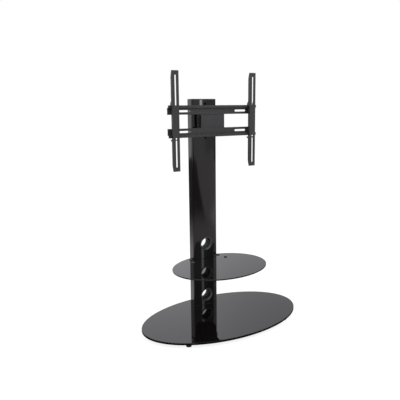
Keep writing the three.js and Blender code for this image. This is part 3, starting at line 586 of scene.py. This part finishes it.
grommet = dict(clear=0.0285, sleeve=0.0297, lip=0.034, rise=0.0018, depth=0.009, edge=0.0006,
               lipSlope=0.0004, lipShare=0.45, faceShare=0.9, edgeAngle=25)


# a lipped ring about y whose lip stands off the wall, towards the front for side -1
def grommetRing(side, gap):
    g = grommet
    top = gap + g["rise"]
    outline = [(g["clear"], -g["depth"]), (g["clear"], top), (g["lip"] - g["lipSlope"], top),
               (g["lip"], gap + g["rise"] * g["lipShare"]), (g["lip"], gap), (g["sleeve"], gap),
               (g["sleeve"], -g["depth"])]
    ring = turned([(radius, side * along) for radius, along in outline], "y", closed=True)
    rims = [edge for edge in ring.edges
            if all(side * v.co.y > gap + g["rise"] * g["faceShare"] for v in edge.verts)
            and edge.calc_face_angle(0) > math.radians(g["edgeAngle"])]
    rounded(ring, rims, g["edge"])
    return ring


for (row, side), height in zip(rowNames, column["holeHeights"]):
    ring = grommetRing(-1, common["seatGap"])
    for vert in ring.verts:
        vert.co.y += bowAt(vert.co.x)  # the ring lies on the bowed front
    pieceFor(moved(ring, (0, column["frontY"], height)), "grommet_front_" + row)
    pieceFor(moved(grommetRing(1, 0.0), (0, columnBack, height)), "grommet_back_" + row)
print("grommets made")

foot = dict(spacingX=0.516, spacingY=0.303, padRadius=0.012, padTop=0.013, padRounding=0.002,
            discRadius=0.014, discTop=0.016, discFlare=0.0015)
for name, sideX, sideY in cornerNames:
    centre = (sideX * foot["spacingX"] / 2, sideY * foot["spacingY"] / 2, 0)
    radius, wide, top = foot["padRadius"], foot["discRadius"], foot["padTop"]
    pad = turned([(0, 0), (radius, 0), (radius, top), (0, top)], "z", centre)
    rounded(pad, edgesAtHeight(pad, 0), foot["padRounding"], common["rimSteps"])
    pieceFor(pad, "foot_pad_" + name)
    pieceFor(turned([(0, top), (radius, top), (wide, top + foot["discFlare"]), (wide, foot["discTop"]),
                     (0, foot["discTop"])], "z", centre), "foot_disc_" + name)
print("feet made")

shelfCap = dict(radius=0.008, height=0.005, wall=0.0014, roof=0.0033, domeSteps=8, domePower=0.7,
                skirtShare=0.35)
for name, place in shelf["boltPlaces"].items():
    s = shelfCap
    inside = s["radius"] - s["wall"]
    profile = [(0, s["roof"]), (inside, s["roof"]), (inside, 0), (s["radius"], 0)]
    for step in range(s["domeSteps"] + 1):
        angle = math.pi / 2 * step / s["domeSteps"]
        radius = s["radius"] * math.cos(angle) ** s["domePower"] if step < s["domeSteps"] else 0.0
        profile.append((radius, s["height"] * (s["skirtShare"] + (1 - s["skirtShare"]) * math.sin(angle))))
    pieceFor(turned(profile, "z", (*place, shelf["top"]), common["smallSteps"]), "shelf_cap_" + name)
print("caps made")

# the plate under the base
basePlate = dict(width=0.240, depth=0.104, thickness=0.005, corner=0.018, centreY=0.153, bottom=0.011)
steelSlab = roundedSlab(basePlate["width"], basePlate["depth"], basePlate["thickness"], basePlate["corner"])
moved(steelSlab, (0, basePlate["centreY"], basePlate["bottom"]))
steelHoles = holesThrough(bossPlaces, base["boltRadius"], basePlate["bottom"], base["bottom"])
pieceFor(carved(steelSlab, steelHoles), "base_plate")

bracket = dict(top=0.261, sheet=0.003, halfWidth=0.113, frontY=0.098, shoulderY=0.146, backHalfWidth=0.086,
               backY=0.174, armInner=0.0663, armOuter=0.0843, armTipY=0.004, webInset=0.001,
               flangeDrop=0.058, flangeDepth=0.027, rootHeight=0.229, tipHeight=0.255, nutRadius=0.006,
               nutHeight=0.005, boreRadius=0.003, corner=0.004)


def shelfBracket():
    b = bracket
    half, wide, inner, outer = b["halfWidth"], b["backHalfWidth"], b["armInner"], b["armOuter"]
    front, tip, top, thick = b["frontY"], b["armTipY"], b["top"], b["sheet"]
    bottom, low, screwY = top - thick, top - b["flangeDrop"], column["screwY"]
    sheet = plateFrom([(half, front), (half, b["shoulderY"]), (wide, b["backY"]), (-wide, b["backY"]),
                       (-half, b["shoulderY"]), (-half, front), (-outer, front), (-outer, tip),
                       (-inner, tip), (-inner, front), (inner, front), (inner, tip), (outer, tip),
                       (outer, front)], thick, b["corner"])
    sheet = carved(moved(sheet, (0, 0, bottom)), columnRoom(bottom, top, common["seatGap"], inner))
    back = screwY + b["flangeDepth"] / 2
    start, webTop, webTip = back - b["flangeDepth"], top - overlap, tip + b["webInset"]
    parts = []
    for x in (inner, -inner - thick):
        flange = plateFrom([(start, top), (start, low), (back, low), (back, top)], thick, b["corner"])
        web = plateFrom([(webTip, webTop), (webTip, b["tipHeight"]), (screwY, b["rootHeight"]),
                         (screwY, webTop)], thick)
        parts += [standing(flange, "x", (x, 0, 0)), standing(web, "x", (x, 0, 0))]
    for place in shelf["boltPlaces"].values():
        nut = hexHead(b["nutRadius"], b["nutHeight"] + overlap)
        parts.append(aimed(nut, (0, 0, -1), (*place, bottom + overlap)))
    tools = holesThrough(shelf["boltPlaces"].values(), b["boreRadius"], low, top)
    tools += [rod("x", column["screwRadius"], -half, half, (0, screwY, z)) for z in column["screwHeights"]]
    return joinedThenCut(sheet, parts, tools)


pieceFor(shelfBracket(), "shelf_bracket", split=True)


def onHead(y, rise=0.0, x=0.0):
    return (x, y, mount["height"] + rise)


# an upright plate of the mounting head
def headPlate(spec):
    slab = roundedSlab(spec["width"], spec["height"], spec["thickness"], spec["corner"])
    return standing(slab, "y", onHead(spec["back"]))


def clampHoles():
    return [rod("y", mount["boltHole"], *mount["boltReach"], onHead(0, side * mount["boltPitch"] / 2))
            for row, side in rowNames]


def pinHole(axis, pin):
    return rod(axis, mount[pin + "Hole"], -mount["pinReach"], mount["pinReach"], onHead(mount[pin + "Y"]))


saddle = dict(width=0.084, height=0.108, thickness=0.015, corner=0.008, back=0.148, roomHalf=0.08)
saddleRoom = columnPrism(mount["height"] - saddle["roomHalf"], mount["height"] + saddle["roomHalf"],
                         common["seatGap"])
pieceFor(carved(headPlate(saddle), [saddleRoom, *clampHoles()]), "mount_saddle")

carriage = dict(width=0.084, height=0.108, thickness=0.004, corner=0.008, back=0.133, earRadius=0.014,
                earRoot=0.028)


def carriagePlate():
    radius, root = carriage["earRadius"], carriage["earRoot"]
    swivelY, thick = mount["swivelY"], mount["earThickness"]
    lean = math.atan2(root - radius, mount["plateFront"] - swivelY)
    rootY = mount["plateFront"] + overlap
    ears = []
    for rise in (mount["earSpan"] / 2, -mount["earSpan"] / 2 - thick):
        ear = plateFrom([(root, rootY), (-root, rootY),
                         (-radius * math.cos(lean), swivelY - radius * math.sin(lean)),
                         (0, swivelY, 180 - 2 * math.degrees(lean))], thick)
        ears.append(moved(ear, onHead(0, rise)))
    return joinedThenCut(headPlate(carriage), ears, [pinHole("z", "swivel"), *clampHoles()])


pieceFor(carriagePlate(), "carriage_plate")
clamp = dict(width=0.030, height=0.096, thickness=0.005, corner=0.004, back=0.1463)
pieceFor(carved(headPlate(clamp), clampHoles()), "clamp_plate")


# two ears that carry the tilt bolt, from their root on a plate; side is 1 where the plate is behind
def tiltEars(side, rootY, root, radius, thickness, places):
    outline = [(rootY, side * root), (mount["tiltY"], side * radius), (mount["tiltY"], 0, 180),
               (rootY, -side * root)]
    return [standing(plateFrom(outline, thickness), "x", onHead(0, x=x)) for x in places]


# the ears lie a little inside the plate's ends
yoke = dict(width=0.0585, height=0.040, thickness=0.0035, corner=0.002, back=0.1015, barrelRadius=0.011,
            barrelHalf=0.02015, barrelEdge=0.0005, earThickness=0.004, earRadius=0.011, earInset=0.0001,
            rootDepth=0.0007, rootInset=0.0016)


def swivelYoke():
    y = yoke
    end, half, height = y["barrelHalf"], y["width"] / 2, mount["height"]
    barrel = turned([(0, -end), (y["barrelRadius"], -end), (y["barrelRadius"], end), (0, end)], "z",
                    onHead(mount["swivelY"]))
    rounded(barrel, edgesAtHeight(barrel, height - end, height + end), y["barrelEdge"])
    ears = tiltEars(1, y["back"] - y["rootDepth"], y["height"] / 2 - y["rootInset"], y["earRadius"],
                    y["earThickness"] - y["earInset"], (y["earInset"] - half, half - y["earThickness"]))
    return joinedThenCut(headPlate(y), [barrel, *ears], [pinHole("x", "tilt"), pinHole("z", "swivel")])


pieceFor(swivelYoke(), "swivel_yoke")
head = dict(width=0.120, height=0.124, thickness=0.003, corner=0.010, back=0.069, earInner=0.022,
            earThickness=0.003, earRadius=0.011, earRoot=0.0176)
headEars = tiltEars(-1, head["back"] - overlap, head["earRoot"], head["earRadius"],
                    head["earThickness"], (head["earInner"], -head["earInner"] - head["earThickness"]))
pieceFor(joinedThenCut(headPlate(head), headEars, [pinHole("x", "tilt")]), "tilt_head")
print("mounting head made")

rail = dict(length=0.460, front=0.054, back=0.066, wall=0.0025, half=0.015, lipTop=0.025, spacing=0.090,
            bend=0.0012, slotWidth=0.060, slotHeight=0.009, slotX=0.145, slotStart=0.004)


def railBar(side):
    r = rail
    front, back, half, wall = r["front"], r["back"], r["half"], r["wall"]
    moves = [(front, half - wall), (back - wall, half - wall), (back - wall, -half), (back, -half),
             (back, half), (front + wall, half), (front + wall, r["lipTop"]), (front, r["lipTop"])]
    rise = side * r["spacing"] / 2
    bar = plateFrom([(y, side * z) for y, z in moves], r["length"], r["bend"])
    slots = [slotTool(r["slotWidth"], r["slotHeight"], back + overrun, front + r["slotStart"],
                      x, mount["height"] + rise) for x in (-r["slotX"], r["slotX"])]
    return carved(standing(bar, "x", onHead(0, rise, -r["length"] / 2)), slots)


pieceFor(railBar(1), "rail_upper")
pieceFor(railBar(-1), "rail_lower")

arm = dict(spacing=0.400, half=0.016, wall=0.0025, front=0.0401, back=0.0537, noseBack=0.0461, end=0.215,
           taper=0.026, tabTop=-0.0765, tabBottom=-0.080, tabBack=0.065, tabRamp=0.006, hookBack=0.0568,
           tongueBack=0.0628, tongueBottom=0.0603, hookTop=0.0703, bridge=0.076, hookRoot=0.088,
           bend=0.003, bendSteps=6, corner=0.0012, slotWidth=0.007, slotHeight=0.130, slotZ=0.132,
           slotDepth=0.005, screwY=0.060, screwHole=0.00275)


def armChannel(x):
    a = arm
    front, back, end, nose = a["front"], a["back"], a["end"], a["noseBack"]
    low, high, tabBack, tabBottom = end - a["taper"], a["hookTop"], a["tabBack"], a["tabBottom"]
    side = plateFrom([(front, -end), (nose, -end), (back, -low), (back, tabBottom - a["tabRamp"]),
                      (tabBack, tabBottom), (tabBack, a["tabTop"]), (back, a["tabTop"]), (back, high),
                      (a["hookBack"], high), (a["hookBack"], a["tongueBottom"]),
                      (a["tongueBack"], a["tongueBottom"]), (a["tongueBack"], a["bridge"]),
                      (back, a["hookRoot"]), (back, low), (nose, end), (front, end)],
                     2 * a["half"], a["corner"], edge=0)
    body = standing(side, "x", (-a["half"], 0, 0))
    bends = [edge for edge in body.edges if all(abs(v.co.y - front) < common["mergeGap"] for v in edge.verts)
             and abs(edge.verts[0].co.z - edge.verts[1].co.z) > end]
    rounded(body, bends, a["bend"], a["bendSteps"])
    inner, reach, past = a["half"] - a["wall"], tabBack + overrun, end + overrun
    tools = [boxOf((-inner, front + a["wall"], a["tabTop"]), (inner, reach, past)),
             boxOf((-inner, front + a["wall"], -past), (inner, reach, tabBottom))]
    tools += [slotTool(a["slotWidth"], a["slotHeight"], front + a["slotDepth"], front - overrun,
                       0, hand * a["slotZ"]) for name, hand in handNames]
    tools += holesThrough([(0, a["screwY"])], a["screwHole"], tabBottom, a["tabTop"])
    return moved(carved(body, tools), onHead(0, x=x))


for name, side in handNames:
    pieceFor(armChannel(side * arm["spacing"] / 2), "arm_" + name)
print("rails and arms made")

# bolts, screws and the nut; shares are of the head's radius or height
bolts = dict(
    base=dict(head=0.006, headHeight=0.004, shaft=0.0025, pitch=0.0010, length=0.0405, plain=0.018),
    clamp=dict(head=0.0065, headHeight=0.005, shaft=0.004, pitch=0.00125, length=0.0208, plain=0.009),
    swivel=dict(head=0.010, headHeight=0.007, shaft=0.006, pitch=0.00175, length=0.064, plain=0.050),
    tilt=dict(head=0.0065, headHeight=0.005, shaft=0.004, pitch=0.00125, length=0.0725, plain=0.056),
    shelf=dict(head=0.0055, headHeight=0.003, shaft=0.0027, pitch=0.0010, length=0.0155, plain=0.006),
    bracket=dict(head=0.005, headHeight=0.003, shaft=0.0022, pitch=0.0008, length=0.0085, plain=0.0009),
    nut=dict(head=0.010, height=0.008, bore=0.00625),
    lock=dict(head=0.006, headHeight=0.009, shaft=0.0025, pitch=0.0008, length=0.018, knurls=36,
              knurlShare=0.955, coreShare=0.86, coreOverlap=0.001, shaftInset=0.0004, topShare=0.03,
              waist=[(0.88, 0.0), (1, 0.15), (1, 0.40), (0.88, 0.5), (1, 0.6), (1, 0.85), (0.88, 0.97)]),
)
panHead = dict(outline=[(0, 0), (1, 0), (1, 0.35), (0.94, 0.66), (0.78, 0.9), (0.55, 1), (0, 1)],
               socketRadius=0.42, socketFloor=0.4)
tiltTurn = 30


def hexBolt(spec):
    return carved(hexHead(spec["head"], spec["headHeight"]), shaftParts(spec), "UNION")


def panScrew(spec):
    radius, height = spec["head"], spec["headHeight"]
    button = turned([(radius * out, height * up) for out, up in panHead["outline"]], "z",
                    steps=common["smallSteps"])
    socket = rod("z", radius * panHead["socketRadius"], height * panHead["socketFloor"],
                 height + overrun, sides=6)
    return joinedThenCut(button, shaftParts(spec), [socket])


for (name, *sides), place in zip(cornerNames, bossPlaces):
    pieceFor(aimed(hexBolt(bolts["base"]), (0, 0, -1), (*place, basePlate["bottom"])), "base_bolt_" + name)
for name, place in shelf["boltPlaces"].items():
    pieceFor(moved(panScrew(bolts["shelf"]), (*place, shelf["top"])), "shelf_bolt_" + name)
for name, side in handNames:
    for row, height in enumerate(column["screwHeights"], 1):
        seat = (side * (bracket["armInner"] + bracket["sheet"]), column["screwY"], height)
        pieceFor(aimed(panScrew(bolts["bracket"]), (side, 0, 0), seat), f"bracket_screw_{name}_{row}")
for name, side in rowNames:
    seat = onHead(mount["plateFront"], side * mount["boltPitch"] / 2)
    pieceFor(aimed(hexBolt(bolts["clamp"]), (0, -1, 0), seat), "clamp_bolt_" + name)
earTop = mount["earSpan"] / 2 + mount["earThickness"]
pieceFor(moved(hexBolt(bolts["swivel"]), onHead(mount["swivelY"], earTop)), "swivel_bolt")
tiltBolt = hexBolt(bolts["tilt"])
bmesh.ops.rotate(tiltBolt, cent=origin, matrix=Matrix.Rotation(math.radians(tiltTurn), 3, "Z"),
                 verts=tiltBolt.verts)
pieceFor(aimed(tiltBolt, (-1, 0, 0), onHead(mount["tiltY"], x=-yoke["width"] / 2)), "tilt_bolt")
nut = hexHead(bolts["nut"]["head"], bolts["nut"]["height"], bothEnds=True)
nut = carved(nut, holesThrough([(0, 0)], bolts["nut"]["bore"], 0, bolts["nut"]["height"]))
pieceFor(aimed(nut, (0, 0, -1), onHead(mount["swivelY"], -earTop)), "swivel_nut")


def ringPad(inner, outer, height, edge, place):
    bm = turned([(inner, 0), (outer, 0), (outer, height), (inner, height)], "z", closed=True)
    middle = (inner + outer) / 2
    rims = [e for e in edgesAtHeight(bm, 0, height) if all(v.co.xy.length > middle for v in e.verts)]
    rounded(bm, rims, edge)
    return moved(bm, place)


washer = dict(inner=0.00625, outer=0.011, height=0.0016, edge=0.0003)
for name, rise in (("top", mount["earSpan"] / 2 - washer["height"]), ("bottom", -mount["earSpan"] / 2)):
    pieceFor(ringPad(**washer, place=onHead(mount["swivelY"], rise)), "swivel_washer_" + name)
shelfPad = dict(inner=0.0035, outer=0.009, height=0.002, edge=0.0004)
armPad = dict(radius=0.008, x=0.0753, y=0.016)
for name, place in shelf["boltPlaces"].items():
    pieceFor(ringPad(**shelfPad, place=(*place, bracket["top"])), "shelf_pad_" + name)
for name, side in handNames:
    disc = rod("z", armPad["radius"], 0, shelfPad["height"])
    rounded(disc, edgesAtHeight(disc, 0, shelfPad["height"]), shelfPad["edge"])
    pieceFor(moved(disc, (side * armPad["x"], armPad["y"], bracket["top"])), "shelf_pad_arm_" + name)


# the lock screws have a waisted, knurled head
def lockScrew():
    s = bolts["lock"]
    bm = bmesh.new()
    ring = bmesh.ops.create_circle(bm, cap_ends=True, segments=s["knurls"] * 2, radius=s["head"])["verts"]
    for vert in ring[::2]:
        vert.co *= s["knurlShare"]
    across = s["waist"][0][0]
    bmesh.ops.scale(bm, vec=(across, across, 1), verts=bm.verts)
    rim = list(bm.faces)
    for step, (share, up) in enumerate(s["waist"][1:]):
        grown = bmesh.ops.extrude_face_region(bm, geom=rim)["geom"]
        if step:
            bmesh.ops.delete(bm, geom=rim, context="FACES_ONLY")
        rim, verts = itemsOf(bmesh.types.BMFace, grown), itemsOf(bmesh.types.BMVert, grown)
        bmesh.ops.scale(bm, vec=(share / across, share / across, 1), verts=verts)
        for vert in verts:
            vert.co.z = s["headHeight"] * up
        across = share
    moved(bm, (0, 0, -s["headHeight"]))
    top = -s["headHeight"] * s["topShare"]
    shaft = [rod("z", s["shaft"] * s["coreShare"], top - s["coreOverlap"], s["length"] - s["shaftInset"],
                 sides=common["shaftSteps"]),
             threadedShaft(s["shaft"], s["pitch"], top + s["shaftInset"], s["length"])]
    return carved(bm, shaft, "UNION")


for name, side in handNames:
    seat = onHead(arm["screwY"], arm["tabBottom"], side * arm["spacing"] / 2)
    pieceFor(moved(lockScrew(), seat), "lock_screw_" + name)

knob = dict(radius=0.012, lobe=0.0014, lobes=5, sides=120, wingStart=0.004, length=0.020, hub=0.008,
            hubGap=0.0004, hubOverlap=0.001, bore=0.00425, boreStart=0.002, boreDepth=0.016,
            rounding=0.0016, rimWidth=0.0022, dishSlope=0.0005, dish=0.0006, place=0.0295)


def tiltKnob():
    k = knob
    bm = bmesh.new()
    for vert in bmesh.ops.create_circle(bm, cap_ends=True, segments=k["sides"], radius=1)["verts"]:
        angle = math.atan2(vert.co.y, vert.co.x)
        vert.co *= k["radius"] + k["lobe"] * math.cos(k["lobes"] * angle)
    height = k["length"] - k["wingStart"]
    extruded(bm, bm.faces[:], height)
    rounded(bm, edgesAtHeight(bm, 0, height), k["rounding"], common["cornerSteps"])
    outer = max(bm.faces, key=lambda f: (len(f.verts) == k["sides"], f.calc_center_median().z))
    for width, depth in ((k["rimWidth"], 0), (k["dishSlope"], -k["dish"])):
        bmesh.ops.inset_region(bm, faces=[outer], thickness=width, depth=depth, use_even_offset=True)
    wing = standing(bm, "x", (k["place"] + k["wingStart"], 0, 0))
    hub = rod("x", k["hub"], k["place"] + k["hubGap"], k["place"] + k["wingStart"] + k["hubOverlap"])
    bore = rod("x", k["bore"], k["place"] - k["boreStart"], k["place"] + k["boreDepth"])
    return moved(joinedThenCut(wing, [hub], [bore]), onHead(mount["tiltY"]))


pieceFor(tiltKnob(), "tilt_knob")
print("fasteners and knob made")

studio = dict(
    floorSize=14.0, floorColour=(0.82, 0.82, 0.82), floorRough=0.9, shownFloor=(0.21, 0.21, 0.21),
    # the floor and world tints and the front and side shares of the world are painted reflections, seen only
    # by glossy rays
    shownGlow=0.85, floorReflectionTint=(1.03, 0.97, 1.0), worldStrength=0.9, worldReflectionTint=(0.99, 0.985, 1.03),
    frontReflection=0.6, frontReflectionFade=(-0.2, 0.3), sideReflectionFade=(0.38, 0.6), sideReflection=(1.2, 0.8), aimHeight=0.45,
)
lamps = dict(
    keyLamp=dict(place=(-2.2, -2.4, 3.4), size=(2.6, 2.6), power=70),
    fillLamp=dict(place=(3.0, -1.2, 2.4), size=(2.4, 2.4), power=36),
    stripLamp=dict(place=(1.03, -2.68, 1.35), size=(0.30, 0.80), power=4),
)
# painted reflection: how the floor looks in a polished surface, with a painted contact shadow under the
# stand; each zone's strength, and where the zones meet
gloss = dict(
    under=0.03, near=0.24, mid=0.66, far=0.09, back=1.05, shade=1.0, right=0.4,
    underFade=(0.4, 0.5), nearFade=(0.8, 1.05), farFade=(1.3, 2.6), farSide=(1.15, 0.8),
    backReach=(2.1, 1.2), backStart=(0.15, 0.25), backSide=(0.15, -0.1), shadeStart=(-0.35, -0.1),
    shadeReach=(1.2, 1.0), rightStart=(1.15, 1.6), rightReach=(-1.9, -1.2),
)


def blendBy(tree, factor, first, second):
    return nodeFed(tree, "ShaderNodeMixShader", {"Fac": factor, 1: first, 2: second}).outputs["Shader"]


# painted reflection: a white sweep about two metres round the stand, dark beyond it, with a painted contact
# shadow and painted shade near the stand
def paintedFloorReflection(tree):
    g = gloss
    coords, place = placeIn(tree)
    across, along = place["X"], place["Y"]
    away = nodeFed(tree, "ShaderNodeVectorMath", {0: coords}, "LENGTH").outputs["Value"]

    def zone(value, limits, high=1.0, low=0.0):
        return fade(tree, value, g[limits], low, high)

    # the under zone is a painted contact shadow round the stand, the shade zone painted shade near it
    near = mathNode(tree, "ADD", zone(away, "underFade", g["near"], g["under"]),
                    zone(away, "nearFade", g["mid"] - g["near"]))
    beyond = product(tree, zone(away, "farFade", g["mid"] - g["far"]), zone(across, "farSide"))
    behind = product(tree, zone(away, "backReach", g["back"]), zone(along, "backStart"),
                     zone(across, "backSide"))
    shade = product(tree, zone(along, "shadeStart", g["shade"]), zone(away, "shadeReach"))
    right = product(tree, zone(across, "rightStart", g["right"]), zone(along, "rightReach"))
    close = product(tree, near, mathNode(tree, "SUBTRACT", 1.0, shade))
    front = mathNode(tree, "ADD", mathNode(tree, "SUBTRACT", close, beyond), right)
    return mathNode(tree, "MAXIMUM", front, behind)


# a plain pale floor that holds the object's shadow; to glossy rays it shows a painted reflection instead
def plainFloor():
    bm = bmesh.new()
    bmesh.ops.create_grid(bm, x_segments=1, y_segments=1, size=studio["floorSize"] / 2)
    floor, mesh = objectFrom(bm, "floor")
    mat, tree, shader = nodeMaterial("floorPaint")
    shader.inputs["Base Color"].default_value = (*studio["floorColour"], 1)
    shader.inputs["Roughness"].default_value = studio["floorRough"]
    shader.inputs["Specular IOR Level"].default_value = 0.0
    lit = nodeFed(tree, "ShaderNodeBsdfDiffuse", {"Color": (*studio["shownFloor"], 1)}).outputs["BSDF"]
    glow = nodeFed(tree, "ShaderNodeEmission", {"Strength": studio["shownGlow"]}).outputs["Emission"]
    both = nodeFed(tree, "ShaderNodeAddShader", {0: lit, 1: glow}).outputs["Shader"]
    # painted reflection: the floor glows in this pattern for glossy rays only
    paintedReflection = nodeFed(tree, "ShaderNodeEmission", {
        "Color": (*studio["floorReflectionTint"], 1), "Strength": paintedFloorReflection(tree)}).outputs["Emission"]
    path = tree.nodes.new("ShaderNodeLightPath").outputs
    inGloss = blendBy(tree, path["Is Glossy Ray"], shader.outputs["BSDF"], paintedReflection)
    seen = blendBy(tree, path["Is Camera Ray"], inGloss, both)
    tree.links.new(seen, tree.nodes["Material Output"].inputs["Surface"])
    mesh.materials.append(mat)


# white for the camera; to glossy rays a painted reflection, a little darker in front and tinted, while the
# light the world gives stays even
def whiteSurround():
    world = bpy.data.worlds.new("studioWorld")
    scene.world = world
    world.use_nodes = True
    tree = world.node_tree
    background = tree.nodes["Background"]
    background.inputs["Color"].default_value = (1, 1, 1, 1)
    background.inputs["Strength"].default_value = studio["worldStrength"]
    shown = nodeFed(tree, "ShaderNodeBackground", {"Color": (1, 1, 1, 1)})
    place = placeIn(tree, "Generated")[1]
    # painted reflection: this strength is seen only by glossy rays
    strength = product(tree, fade(tree, place["Y"], studio["frontReflectionFade"], studio["frontReflection"], 1.0),
                       fade(tree, place["X"], studio["sideReflectionFade"], *studio["sideReflection"]))
    paintedReflection = nodeFed(tree, "ShaderNodeBackground", {
        "Color": (*studio["worldReflectionTint"], 1), "Strength": strength})
    path = tree.nodes.new("ShaderNodeLightPath").outputs
    through = mathNode(tree, "MAXIMUM", path["Is Camera Ray"], path["Is Transmission Ray"])
    inGloss = blendBy(tree, path["Is Glossy Ray"], background.outputs["Background"],
                      paintedReflection.outputs["Background"])
    seen = blendBy(tree, through, inGloss, shown.outputs["Background"])
    tree.links.new(seen, tree.nodes["World Output"].inputs["Surface"])


def softLamp(name, place, size, power):
    light = bpy.data.lights.new(name, "AREA")
    light.shape = "RECTANGLE"
    light.size, light.size_y = size
    light.energy = power
    lamp = linked(name, light)
    lamp.location = place
    lamp.visible_camera = False
    aim = Vector((0, 0, studio["aimHeight"])) - Vector(place)
    lamp.rotation_euler = aim.to_track_quat("-Z", "Y").to_euler()


plainFloor()
whiteSurround()
for lampName, lampSpec in lamps.items():
    softLamp(lampName, **lampSpec)

# the camera, as fitted to the photo: angles in degrees, the lens in millimetres
view = dict(place=(-1.1079, -1.7899, 0.9881), yaw=29.560, pitch=11.239, roll=0.646, lens=42.139,
            sensor=36, shift=(-0.0086, 0.0082))
yaw, pitch, roll = (math.radians(view[key]) for key in ("yaw", "pitch", "roll"))
ahead = Vector((math.sin(yaw) * math.cos(pitch), math.cos(yaw) * math.cos(pitch), -math.sin(pitch)))
level = Vector((math.cos(yaw), -math.sin(yaw), 0))
down = ahead.cross(level)
across = math.cos(roll) * level + math.sin(roll) * down
below = -math.sin(roll) * level + math.cos(roll) * down
camera = linked("camera", bpy.data.cameras.new("camera"))
camera.location = view["place"]
camera.rotation_euler = Matrix((across, -below, -ahead)).transposed().to_euler()
camera.data.lens = view["lens"]
camera.data.sensor_width = view["sensor"]
camera.data.shift_x, camera.data.shift_y = view["shift"]
camera.data.dof.use_dof = False
scene.camera = camera
scene.view_settings.view_transform = "Standard"
print("camera and light set")
